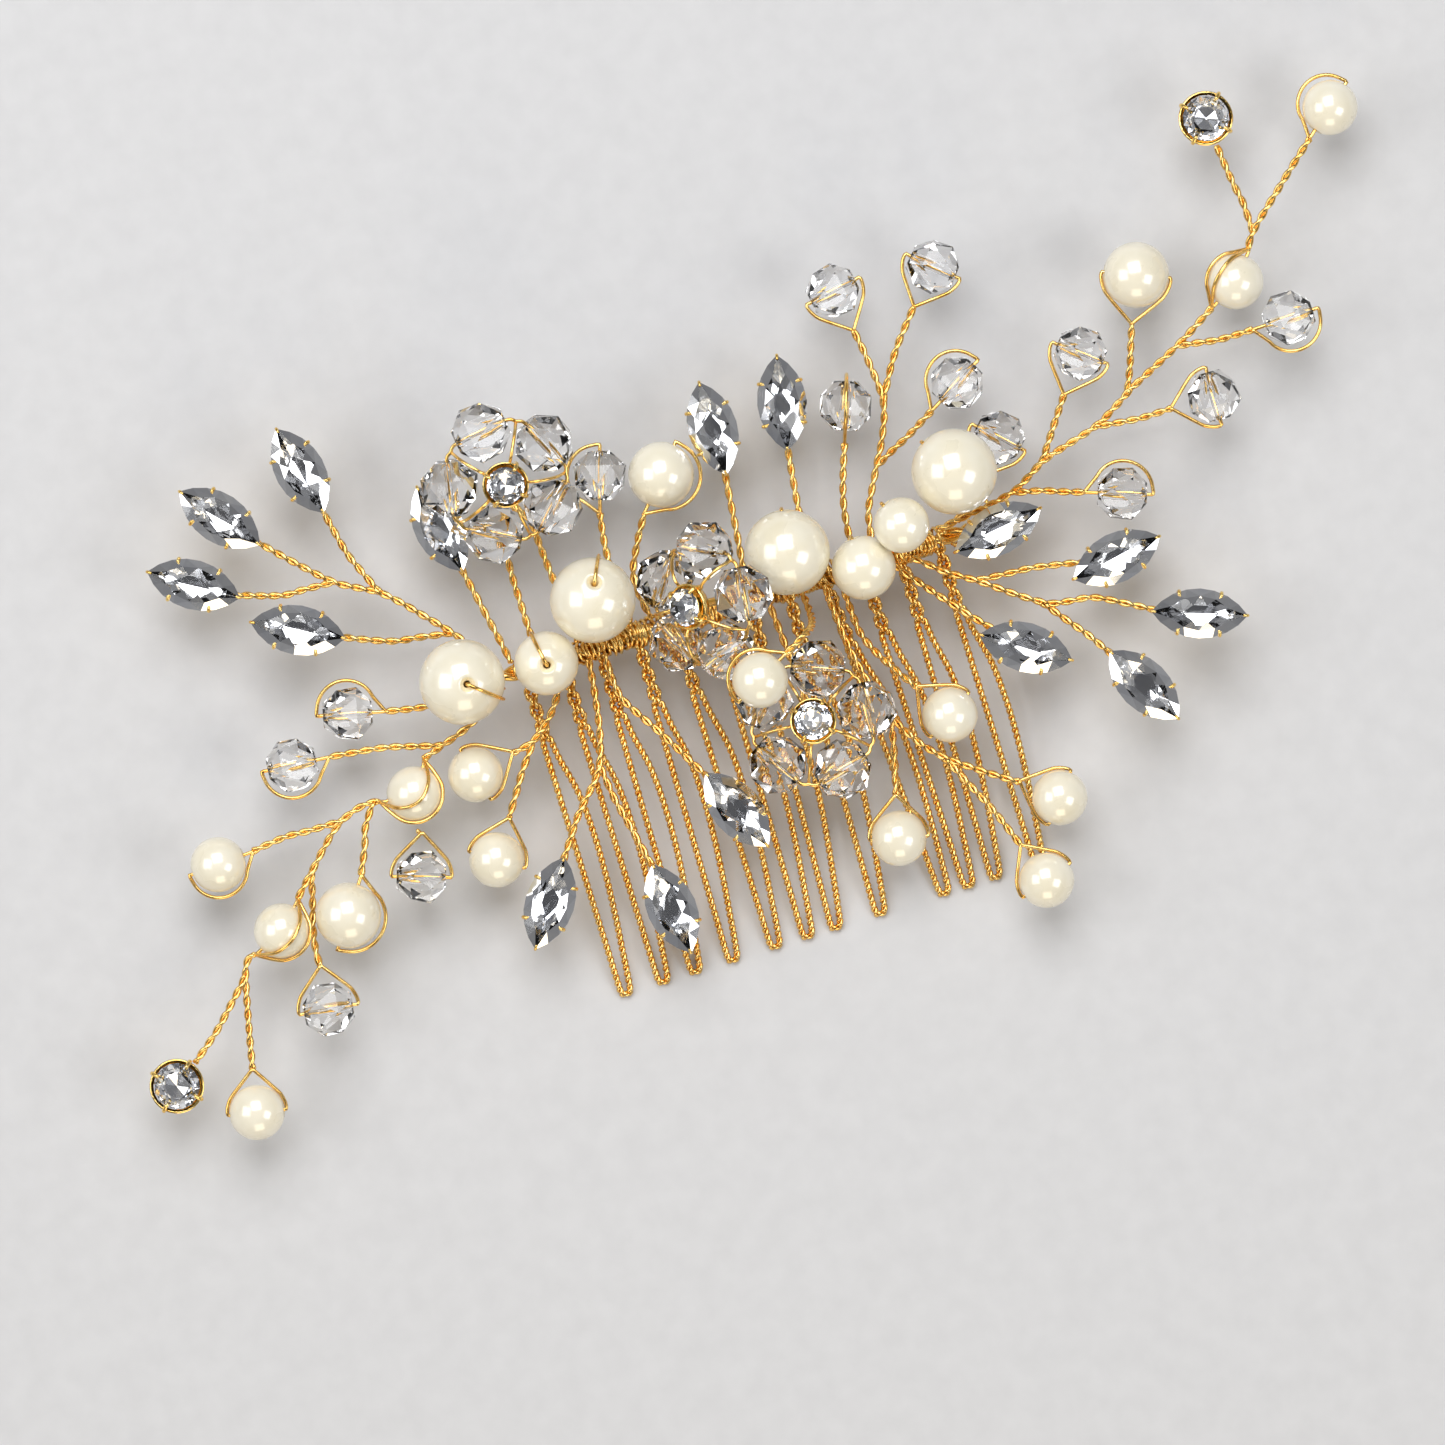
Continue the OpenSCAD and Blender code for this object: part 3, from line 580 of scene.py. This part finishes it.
def loop_across(centre, axis, to_stem, d, fork):
    """The wire that forks below a bead, hugs both its sides and passes through its hole."""
    r = d / 2 + LOOP_HUG
    tip = centre + to_stem * fork
    touch = math.degrees(math.acos(min(1.0, r / fork)))
    half = circle_arc(centre, to_stem, axis, r, touch, 78)
    other = circle_arc(centre, to_stem, -axis, r, touch, 78)
    bend = [centre + axis * (d / 2 + 0.12), centre + axis * (d / 2 - 0.5)]
    back = [centre - axis * (d / 2 - 0.5), centre - axis * (d / 2 + 0.12)]
    return [tip, *half, *bend, *back, *other[::-1], tip]


def loop_along(centre, axis, to_stem, bow, d, stand_off):
    """The wire that passes through a bead away from its stem and bows back round one side."""
    r = d / 2 + LOOP_HUG
    base = centre + to_stem * (d / 2 + KNOT_BELOW)
    through = [base, centre + to_stem * (d / 2 - 0.3), centre - to_stem * (d / 2 - 0.3),
               centre - to_stem * (d / 2 + 0.25)]
    arc = circle_arc(centre, -to_stem, bow, r, 14, 150)
    lift = np.sin(np.linspace(0.3, math.pi, len(arc)))
    arc = [p + unit(p - centre) * stand_off * l for p, l in zip(arc, lift)]
    return through + arc + [base]


# ---------------------------------------------------------------- build: stems and bead wires

rng = random.Random(7)
beads = bead_list()
trims = {}
loop_pile = Pile()

for bead in beads:
    centre, axis, d = bead["centre"], bead["axis"], bead["d"]
    node, i, e = nearest_end(centre, d / 2 + BEAD_REACH)
    to_stem = unit(tubes[node][i][e] - centre)
    if abs(to_stem @ axis) < 0.6:
        to_stem = unit(to_stem - axis * (to_stem @ axis))
        fork = d / 2 + FORK_BELOW
        path = loop_across(centre, axis, to_stem, d, fork)
        trims[(node, i, e)] = (centre, fork - STEM_INSIDE)
    else:
        to_stem = axis if to_stem @ axis > 0 else -axis
        bow = bow_side(centre, axis, d / 2 + 0.6)
        path = loop_along(centre, axis, to_stem, bow, d, rng.uniform(0.2, 0.5))
        trims[(node, i, e)] = (centre, d / 2 + KNOT_BELOW - STEM_INSIDE / 2)
    loop_pile.tube(smooth_line(path, 0.22), LOOP_R)


# The centre and size of each pearl that the stem grips in line
gripped = [((points.min(0) + points.max(0)) / 2, (points.max(0) - points.min(0)).max())
           for points, triangles in solids("gripped_pearls")]

for centre, d in gripped:
    first, second = ends_beside(centre)
    a, b = unit(first - centre), unit(second - centre)
    side = unit(np.cross([0, 0, 1], unit(first - second)))
    r = d / 2 + LOOP_HUG
    for lift, lean in ((0.75, 0.5), (0.2, 0.95)):
        mid = unit(lean * side + lift * np.array([0, 0, 1.0]))
        arc = [first]
        for t in np.linspace(0.12, 0.88, 9):
            direction = (1 - t) ** 2 * a + 2 * t * (1 - t) * mid * 1.8 + t * t * b
            arc.append(centre + unit(direction) * r)
        arc.append(second)
        loop_pile.tube(smooth_line(arc, 0.22), LOOP_R)
    core = [first, centre + a * (r - 0.5), centre + b * (r - 0.5), second]
    loop_pile.tube(smooth_line(core, 0.3), LOOP_R)

put("bead_wire_loops", loop_pile, [GOLD], replaces=["bead_wires"])


def trimmed(line, e, centre, reach):
    """The line without the stretch at end e that lies within reach of centre."""
    order = line if e == -1 else line[::-1]
    fine = smooth_line(order, 0.15)
    far = np.linalg.norm(fine - centre, axis=1) > reach
    last = np.nonzero(far)[0].max() + 1
    fine = fine[:last]
    return fine if e == -1 else fine[::-1]


def to_fork(line, e, others):
    """Runs a branch's free end on to the stem that it forks from."""
    end = line[e]
    best = None
    for other in others:
        fine = smooth_line(other, 0.2)
        gaps = np.linalg.norm(fine - end, axis=1)
        k = int(gaps.argmin())
        if gaps[k] < FORK_REACH and (best is None or gaps[k] < best[0]):
            inward = end - line[-3 if e == -1 else 2]
            ahead, behind = min(k + 7, len(fine) - 1), max(k - 7, 0)
            forward = (fine[ahead] - fine[k]) @ inward > (fine[behind] - fine[k]) @ inward
            best = (gaps[k], fine[ahead if forward else behind])
    if best is None:
        return line
    return np.vstack([line[:-1], best[1]]) if e == -1 else np.vstack([best[1], line[1:]])


for node in STEM_NODES:
    pile = Pile()
    for i, line in enumerate(tubes[node]):
        path = line
        others = [other for k, other in enumerate(tubes[node]) if k != i]
        for e in (0, -1):
            if (node, i, e) not in trims:
                at_pearl = any(np.linalg.norm(line[e] - c) < d / 2 + 1.2 for c, d in gripped)
                if not at_pearl and abs(line[e][1]) > ROOT_Y:
                    path = to_fork(path, e, others)
        for e in (0, -1):
            if (node, i, e) in trims:
                path = trimmed(path, e, *trims[(node, i, e)])
        pile.twist(path, STRAND_R, STEM_PITCH * rng.uniform(0.92, 1.08), phase=rng.uniform(0, 6.28))
    put(node + "_twist", pile, [GOLD], replaces=[node])


# ---------------------------------------------------------------- build: beads

for bead in beads:
    node, centre, axis, d = bead["node"], bead["centre"], bead["axis"], bead["d"]
    pile = Pile()
    if bead["pearl"]:
        pearl_shape(pile, centre, axis, d)
        put(node + "_pearl", pile, [PEARL, CORE], [node], body=node)
    else:
        crystal_shape(pile, centre, axis, d * CUT_BEAD_SHARE, rng.uniform(0, 6.28))
        put(node + "_cut", pile, [GLASS], [node], body=node, smooth=False)

grip_pile = Pile()
for centre, d in gripped:
    pearl_shape(grip_pile, centre, unit(ends_beside(centre)[0] - centre), d)
put("gripped_pearl_set", grip_pile, [PEARL, CORE], replaces=["gripped_pearls"])


# ---------------------------------------------------------------- build: pearls along the bar

def bar_loops():
    """Each pearl on the bar: its centre, size, hole axis towards the front and bow side."""
    found = []
    for node in ("large_pearls", "small_bar_pearls"):
        for points, triangles in solids(node):
            centre = centroid(points, triangles)
            d = np.linalg.norm(points - centre, axis=1).max() * 2
            for wire_points, wire_triangles in bar_pearl_wires:
                middle = centroid(wire_points, wire_triangles)
                if np.linalg.norm(middle - centre) > d / 2 + 0.3:
                    continue
                spread = wire_points - wire_points.mean(0)
                normal = np.linalg.svd(spread, full_matrices=False)[2][2]
                bow = middle - centre
                bow = unit(bow - normal * (bow @ normal))
                hole = unit(np.cross(normal, bow))
                if hole[2] < 0:
                    hole = -hole
                found.append((node, centre, d, hole, bow))
                break
    return found


bar_piles = {"large_pearls": Pile(), "small_bar_pearls": Pile()}
bar_wire = Pile()
for node, centre, d, hole, bow in bar_loops():
    pearl_shape(bar_piles[node], centre, hole, d, mouth_r=0.72)
    r = d / 2 + WRAP_R * 1.2
    inside = [centre - hole * (d / 2 + 0.2), centre, centre + hole * (d / 2 - 0.35)]
    out = [centre + hole * (d / 2 - 0.05) + bow * 0.15]
    arc = circle_arc(centre, hole, bow, r, 14, 168)
    bar_wire.tube(smooth_line(inside + out + arc, 0.25), LOOP_R)
put("large_pearl_set", bar_piles["large_pearls"], [PEARL, CORE],
    replaces=["large_pearls"])
put("small_bar_pearl_set", bar_piles["small_bar_pearls"], [PEARL, CORE],
    replaces=["small_bar_pearls"])
put("bar_pearl_ties", bar_wire, [GOLD], replaces=["bar_pearl_wires"])


# ---------------------------------------------------------------- build: the teeth

def tooth_neck_y(fine):
    """The y at which a hairpin's two strands, side by side in its neck, part."""
    half = len(fine) // 2
    down, up = fine[:half], fine[half:][::-1]
    apart = [abs(up[k, 0] - down[k, 0]) for k in range(min(len(down), len(up)))]
    closed = min(apart[:20])
    for k, gap in enumerate(apart):
        if k > 15 and gap > closed + 0.15:
            return down[k, 1]
    return down[half // 3, 1]


def tooth_rope(pile, line):
    """A tooth from its CAD hairpin: one rope, folded, its neck twisted on itself."""
    fine = smooth_line(line, 0.2)
    neck = abs(tooth_neck_y(fine))
    out = fine.copy()
    for k, p in enumerate(fine):
        depth = -p[1]
        if depth < neck:
            fade = min(1.0, (neck - depth) / 1.2)
            lean = fine[np.abs(fine[:, 1] - p[1]) < 0.3][:, 0].mean()
            side = 1 if p[0] > lean else -1
            angle = 2 * math.pi * (neck - depth) / NECK_PITCH
            r = abs(p[0] - lean)
            out[k, 0] = lean + side * r * ((1 - fade) + fade * math.cos(angle))
            out[k, 2] = p[2] + side * r * fade * math.sin(angle)
    # The rope is a little thicker than its CAD wire, so its tip is kept above the lowest point
    lowest = cad_box[0][2] / MM + 2 * TOOTH_STRAND_R
    out[:, 2] = np.maximum(out[:, 2], lowest)
    pile.twist(out, TOOTH_STRAND_R, TOOTH_PITCH, sides=6, per_turn=9)


tooth_pile = Pile()
for points, triangles in solids("comb_teeth"):
    tooth_rope(tooth_pile, centreline(points, triangles))
put("tooth_ropes", tooth_pile, [GOLD], replaces=["comb_teeth"])


# ---------------------------------------------------------------- build: bar and binding wire

bar_low, bar_high = (np.array(v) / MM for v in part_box("comb_bar"))
bar_r = (bar_high[2] - bar_low[2]) / 2
bar_pile = Pile()
bar_pile.twist([[bar_low[0], 0, 0], [bar_high[0], 0, 0]], bar_r / 2, BAR_PITCH, sides=10,
               per_turn=16)
put("bar_twist", bar_pile, [GOLD], replaces=["comb_bar"])

wrap_low, wrap_high = (np.array(v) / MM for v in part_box("binding_wire"))
wraps = Pile()
x = wrap_low[0] - 1.5
while x < wrap_high[0] + 0.5:
    # A run of turns laid on at a slant, some of them loose, over the run before it
    turns = rng.randint(2, 5)
    run = turns * rng.uniform(0.34, 0.62)
    slant = rng.uniform(-0.8, 0.8)
    loose = rng.uniform(1.0, 1.35)
    angle = np.linspace(0, turns * 2 * math.pi, turns * 16)
    angle += rng.uniform(0, 6.28)
    r = bar_r + WRAP_R + 0.03
    wobble = 1 + (loose - 1) * np.sin(angle * 0.37) ** 2
    path = np.column_stack([
        x + run * (angle - angle[0]) / (angle[-1] - angle[0]) + slant * np.sin(angle),
        r * np.cos(angle) * wobble,
        r * np.sin(angle) * np.sqrt(wobble),
    ])
    wraps.tube(path, WRAP_R, 7)
    x += run * rng.uniform(0.35, 0.75)
put("binding_wraps", wraps, [GOLD], replaces=["binding_wire"])


# ---------------------------------------------------------------- build: leaf stones

def leaf_frame(points, triangles):
    """A leaf stone's centre in plan, long direction, length, width, bottom and top."""
    centre = (points.min(0) + points.max(0)) / 2
    flat = points[:, :2] - points[:, :2].mean(0)
    long_way = np.linalg.svd(flat, full_matrices=False)[2][0]
    along = (points[:, :2] - centre[:2]) @ long_way
    across = (points[:, :2] - centre[:2]) @ np.array([-long_way[1], long_way[0]])
    centre[:2] += long_way * (along.max() + along.min()) / 2
    centre[:2] += np.array([-long_way[1], long_way[0]]) * (across.max() + across.min()) / 2
    return (centre, long_way, along.max() - along.min(), across.max() - across.min(),
            points[:, 2].min(), points[:, 2].max())


def navette(l, w, count, scale=1.0, shift=0.0):
    """Points round a pointed oval, evenly by angle on its two arcs."""
    r = (l * l + w * w) / (4 * w)
    half = math.asin(l / 2 / r)
    points = []
    for side in (scale, -scale):
        for k in range(count // 2):
            a = -half + 2 * half * (k + shift) / (count // 2)
            points.append((side * r * math.sin(a), side * (r * math.cos(a) - (r - w / 2))))
    return points


def hull(points):
    """A convex solid round the points: its corners and faces, flat facets joined."""
    bm = bmesh.new()
    for p in points:
        bm.verts.new(p)
    result = bmesh.ops.convex_hull(bm, input=bm.verts)
    loose = [e for e in result["geom_interior"] if isinstance(e, bmesh.types.BMVert)]
    bmesh.ops.delete(bm, geom=loose, context="VERTS")
    bmesh.ops.dissolve_limit(bm, angle_limit=0.02, verts=bm.verts, edges=bm.edges)
    bmesh.ops.recalc_face_normals(bm, faces=bm.faces)
    bm.verts.index_update()
    corners = np.array([v.co for v in bm.verts])
    faces = [[v.index for v in f.verts] for f in bm.faces]
    ups = [f.normal.z for f in bm.faces]
    bm.free()
    return corners, faces, ups


def place_flat(points, centre, long_way, z):
    """Turns points drawn along +X to lie along long_way, at centre and height z."""
    p = np.asarray(points, float)
    x = np.array([long_way[0], long_way[1], 0])
    y = np.array([-long_way[1], long_way[0], 0])
    base = np.array([centre[0], centre[1], z])
    return base + p[:, :1] * x + p[:, 1:2] * y + p[:, 2:] * np.array([0, 0, 1.0])


def add_cut_stone(pile, points, place, clear_above=0.05):
    """A cut stone: facets that face up more than clear_above are glass, the others are foiled."""
    corners, faces, ups = hull(points)
    pile.add(place(corners), faces, [1 if up < clear_above else 0 for up in ups])


def leaf_stone(pile, centre, way, l, w, low, tall):
    """A navette: a small table, steep crown facets, and a foiled back that is never quite even."""
    girdle = tall * LEAF_GIRDLE
    points = [(x, y, girdle) for x, y in navette(l, w, 16)]
    points += [(x, y, girdle + 0.14) for x, y in navette(l, w, 16)]
    points += [(x, y, tall * 0.80) for x, y in navette(l, w, 10, 0.70, 0.5)]
    points += [(x + rng.uniform(-0.1, 0.1), y, tall) for x, y in navette(l, w, 6, 0.36, 0.0)]
    for count, share, height in ((10, 0.78, 0.24), (8, 0.46, 0.09)):
        for x, y in navette(l, w, count, share, 0.5):
            points.append((x + rng.uniform(-0.25, 0.25), y + rng.uniform(-0.12, 0.12),
                           tall * height * rng.uniform(0.8, 1.2)))
    points += [(x, rng.uniform(-0.2, 0.2), 0.02) for x in (-l * 0.16, l * 0.16)]
    add_cut_stone(pile, points, lambda p: place_flat(p, centre, way, low), LEAF_CLEAR)


def claw(pile, points, place, thick, thin):
    """A claw that tapers from thick to thin radius along the placed points."""
    path = smooth_line(place(np.asarray(points, float)), 0.1)
    pile.tube(path, np.linspace(thick, thin, len(path)))


def leaf_setting(pile, centre, way, l, w, low, tall):
    """A stamped cup under a navette: floor, wall up to the girdle and claws over the edge."""
    girdle = tall * LEAF_GIRDLE + SETTING_FLOOR

    def place(points):
        return place_flat(points, centre, way, low - SETTING_FLOOR)

    # Scale of the outline and height, from the floor's rim up the wall, over it and down inside
    profile = [(0.86, 0.0), (0.94, 0.1), (0.975, girdle - 0.12), (0.975, girdle + 0.02),
               (0.92, girdle), (0.90, 0.4), (0.001, 0.34)]
    wall = [(x, y, z) for scale, z in profile for x, y in navette(l, w, 40, scale)]
    faces = [list(range(40))[::-1]]
    for i in range(len(profile) - 1):
        faces += band(i * 40, (i + 1) * 40, 40)
    pile.add(place(wall), faces)
    arc_r = (l * l + w * w) / (4 * w)
    for end in (-1, 1):
        x = end * l * 0.22
        for side in (-1, 1):
            y = side * (math.sqrt(arc_r * arc_r - x * x) - (arc_r - w / 2))
            claw(pile, [(x, y * 0.96, 0.3), (x, y * 1.015, girdle), (x, y * 0.99, girdle + 0.24),
                        (x, y * 0.86, girdle + 0.5)], place, 0.24, 0.15)
        x = end * l
        claw(pile, [(x * 0.47, 0, 0.3), (x * 0.498, 0, girdle), (x * 0.49, 0, girdle + 0.2),
                    (x * 0.455, 0, girdle + 0.36)], place, 0.2, 0.13)


for group in LEAF_GROUPS:
    stones = Pile()
    settings = Pile()
    for points, triangles in solids(group + "_stones"):
        centre, way, l, w, low, high = leaf_frame(points, triangles)
        l, w = l + LEAF_LONGER, w + LEAF_WIDER
        leaf_stone(stones, centre, way, l, w, low, high - low)
        leaf_setting(settings, centre, way, l, w, low, high - low)
    put(group + "_cut_stones", stones, [GLASS, FOIL], replaces=[group + "_stones"],
        smooth=False)
    put(group + "_claw_settings", settings, [SETTING_GOLD],
        replaces=[group + "_settings"])


# ---------------------------------------------------------------- build: round stones in cups

def ring_points(count, r, z, shift=0.0):
    """Points evenly round Z at height z. shift turns them by a share of their spacing."""
    angles = [(k + shift) * 2 * math.pi / count for k in range(count)]
    return [(r * math.cos(a), r * math.sin(a), z) for a in angles]


def round_cut(pile, base, axis, r, tall):
    """A round brilliant: table, crown, girdle and a foiled pavilion."""
    girdle = tall * 0.5
    points = (ring_points(16, r, girdle) + ring_points(16, r, girdle + 0.1)
              + ring_points(8, r * 0.8, tall * 0.86, 0.5) + ring_points(8, r * 0.56, tall)
              + ring_points(8, r * 0.5, tall * 0.15, 0.5) + [(0, 0, 0.0)])
    add_cut_stone(pile, points, lambda p: on_axis(p, base, axis))


def claw_cup(pile, base, axis, r, tall):
    """An open cup with a rolled foot and claws that fold over the stone's edge."""
    profile = [(0.35, 0.0), (0.75, 0.02), (0.92, 0.25), (0.99, tall * 0.7), (0.98, tall * 0.8),
               (0.9, tall * 0.8), (0.86, 0.4), (0.4, 0.3)]
    sides = 32
    points = [p for share, z in profile for p in ring_points(sides, share * r, z)]
    last = (len(profile) - 1) * sides
    faces = [list(range(sides))[::-1], list(range(last, last + sides))]
    for i in range(len(profile) - 1):
        faces += band(i * sides, (i + 1) * sides, sides)
    pile.add(on_axis(np.array(points), base, axis), faces)
    for way in ring_points(CLAWS, r, 0, 0.5):
        x, y, _ = way
        points = [(x * 0.97, y * 0.97, 0.2), (x, y, tall * 0.8), (x * 0.95, y * 0.95, tall + 0.1),
                  (x * 0.76, y * 0.76, tall + 0.42)]
        path = smooth_line(on_axis(np.array(points), base, axis), 0.12)
        pile.tube(path, np.linspace(0.24, 0.19, len(path)))


def stone_in_cup(cups, stones, base, axis, r):
    """A claw cup of radius r with its foot at base, and the round stone in it."""
    axis = np.asarray(axis, float)
    claw_cup(cups, base, axis, r, CUP_WALL_H)
    round_cut(stones, base + axis * STONE_LIFT, axis, r - STONE_GAP, STONE_H)


tip_cups = Pile()
tip_cut = Pile()
for points, triangles in solids("tip_settings"):
    low, high = points.min(0), points.max(0)
    base = np.array([(low[0] + high[0]) / 2, (low[1] + high[1]) / 2, low[2]])
    stone_in_cup(tip_cups, tip_cut, base, [0, 0, 1], (high[0] - low[0]) / 2)
put("tip_cup_set", tip_cups, [SETTING_GOLD], replaces=["tip_settings"])
put("tip_cut_stones", tip_cut, [GLASS, FOIL], replaces=["tip_stones"],
    smooth=False)


# ---------------------------------------------------------------- build: flowers

def flower_frame(node):
    """A flower's bead centres, in order round it, its middle, forward way and bead size."""
    found = solids(node)
    centres = [centroid(*bead) for bead in found]
    middle = np.mean(centres, axis=0)
    normal = np.linalg.svd(np.array(centres) - middle, full_matrices=False)[2][2]
    normal = normal if normal[2] > 0 else -normal
    u = unit(centres[0] - middle)
    v = np.cross(normal, u)
    d = 2 * np.linalg.norm(found[0][0] - centres[0], axis=1).max()
    centres.sort(key=lambda c: math.atan2((c - middle) @ v, (c - middle) @ u))
    return centres, middle, normal, d


ring_pile = Pile()
cup_pile = Pile()
stone_pile = Pile()
flower_cups = solids("flower_settings")
for number in (1, 2, 3):
    node = f"flower_beads_{number}"
    centres, middle, normal, d = flower_frame(node)
    ring_r = np.mean([np.linalg.norm(c - middle) for c in centres])
    neighbours = list(zip(centres, centres[1:] + centres[:1]))
    petals = Pile()
    for c in centres:
        tangent = np.cross(normal, unit(c - middle))
        crystal_shape(petals, c, tangent, d, rng.uniform(0, 6.28))
    put(f"flower_{number}_petals", petals, [GLASS], replaces=[node], smooth=False)
    # The ring wire, straight through each bead, with a bend between neighbours
    corners = []
    for a, b in neighbours:
        between = unit((a + b) / 2 - middle)
        leaving = np.cross(normal, unit(a - middle)) * (d / 2 - 0.2)
        entering = np.cross(normal, unit(b - middle)) * (d / 2 - 0.2)
        corners += [a, a + leaving, middle + between * ring_r * 1.12, b - entering]
    corners.append(centres[0])
    ring_pile.tube(smooth_line(corners, 0.25), LOOP_R)
    # Wires that run from between the beads, over their fronts, to the cup
    for a, b in neighbours:
        between = unit((a + b) / 2 - middle)
        lift = rng.uniform(0.2, 0.6)
        path = [middle + between * ring_r * 1.1,
                middle + between * ring_r * 0.92 + normal * (1.1 + lift),
                middle + between * ring_r * 0.55 + normal * (1.9 + lift),
                middle + between * 1.2 + normal * 1.4]
        ring_pile.tube(smooth_line(path, 0.2), WRAP_R, 7)
    # The cup stands on the flower's post
    for points, triangles in flower_cups:
        if np.linalg.norm(points.mean(0) - middle) > 5:
            continue
        height = (points - middle) @ normal
        flat = np.linalg.norm((points - middle) - height[:, None] * normal, axis=1)
        r = flat.max() - 0.05
        base = middle + normal * height[flat > r * 0.9].min()
        stone_in_cup(cup_pile, stone_pile, base, normal, r)
        post = [middle + normal * height.min(), base + normal * 0.2]
        cup_pile.tube(smooth_line(post, 0.3), POST_R, 12)
put("flower_ring_wires", ring_pile, [GOLD], replaces=["flower_rings"])
put("flower_cups", cup_pile, [SETTING_GOLD], replaces=["flower_settings"])
put("flower_cut_stones", stone_pile, [GLASS, FOIL], replaces=["flower_stones"],
    smooth=False)


# ---------------------------------------------------------------- stage, light and camera

FLOOR_HALF = 3.0
FLOOR_Z = cad_box[0][2] - 0.00002   # just under the comb's lowest point
floor_mesh = bpy.data.meshes.new("floor")
floor_corners = [(x * FLOOR_HALF, y * FLOOR_HALF, FLOOR_Z)
                 for x, y in ((-1, -1), (1, -1), (1, 1), (-1, 1))]
floor_mesh.from_pydata(floor_corners, [], [(0, 1, 2, 3)])
floor_mesh.materials.append(floor_paper("floor_paper"))
floor = bpy.data.objects.new("floor", floor_mesh)
bpy.context.scene.collection.objects.link(floor)

# The picture looks straight down on the front, with the comb rolled in the frame
ROLL = math.radians(-17.5)
AIM = Vector((-0.0040, -0.0103, 0.002))
DISTANCE = 0.9
WIDTH_SEEN = 0.1352
SENSOR = 36
camera_data = bpy.data.cameras.new("camera")
camera_data.sensor_width = SENSOR
camera_data.lens = SENSOR * DISTANCE / WIDTH_SEEN
camera_data.clip_start = 0.05
camera = bpy.data.objects.new("camera", camera_data)
camera.location = AIM + Vector((0, 0, DISTANCE))
camera.rotation_euler = (0, 0, ROLL)
bpy.context.scene.collection.objects.link(camera)
bpy.context.scene.camera = camera


def soft_light(name, power, size, place, colour=(1.0, 1.0, 1.0)):
    """A square soft light at place from the aim, in the picture's own directions."""
    data = bpy.data.lights.new(name, "AREA")
    data.energy = power
    data.size = size
    data.color = colour
    light = bpy.data.objects.new(name, data)
    light.location = AIM + Matrix.Rotation(ROLL, 3, "Z") @ Vector(place)
    light.rotation_euler = (AIM - light.location).to_track_quat("-Z", "Y").to_euler()
    bpy.context.scene.collection.objects.link(light)


soft_light("key", 3.1, 0.45, (-0.06, 0.30, 0.56))
soft_light("left", 1.15, 0.36, (-0.42, 0.02, 0.40))
soft_light("right", 1.0, 0.3, (0.40, -0.12, 0.42))
soft_light("warm", 0.7, 0.3, (0.05, -0.5, 0.22), (1.0, 0.86, 0.62))

# A studio that is dark overhead, behind the camera, and bright low down all round
world = bpy.data.worlds.new("studio")
world.use_nodes = True
bpy.context.scene.world = world
tree = world.node_tree
background = tree.nodes["Background"]
where = tree.nodes.new("ShaderNodeTexCoord")
split = tree.nodes.new("ShaderNodeSeparateXYZ")
tree.links.new(where.outputs["Generated"], split.inputs["Vector"])
shade = tree.nodes.new("ShaderNodeValToRGB")
shade.color_ramp.elements[0].position = 0.25
shade.color_ramp.elements[0].color = (0.85, 0.85, 0.86, 1)
shade.color_ramp.elements[1].position = 0.85
shade.color_ramp.elements[1].color = (0.24, 0.24, 0.25, 1)
tree.links.new(split.outputs["Z"], shade.inputs["Fac"])
tree.links.new(shade.outputs["Color"], background.inputs["Color"])
background.inputs["Strength"].default_value = 0.34
bpy.context.scene.view_settings.view_transform = "Standard"
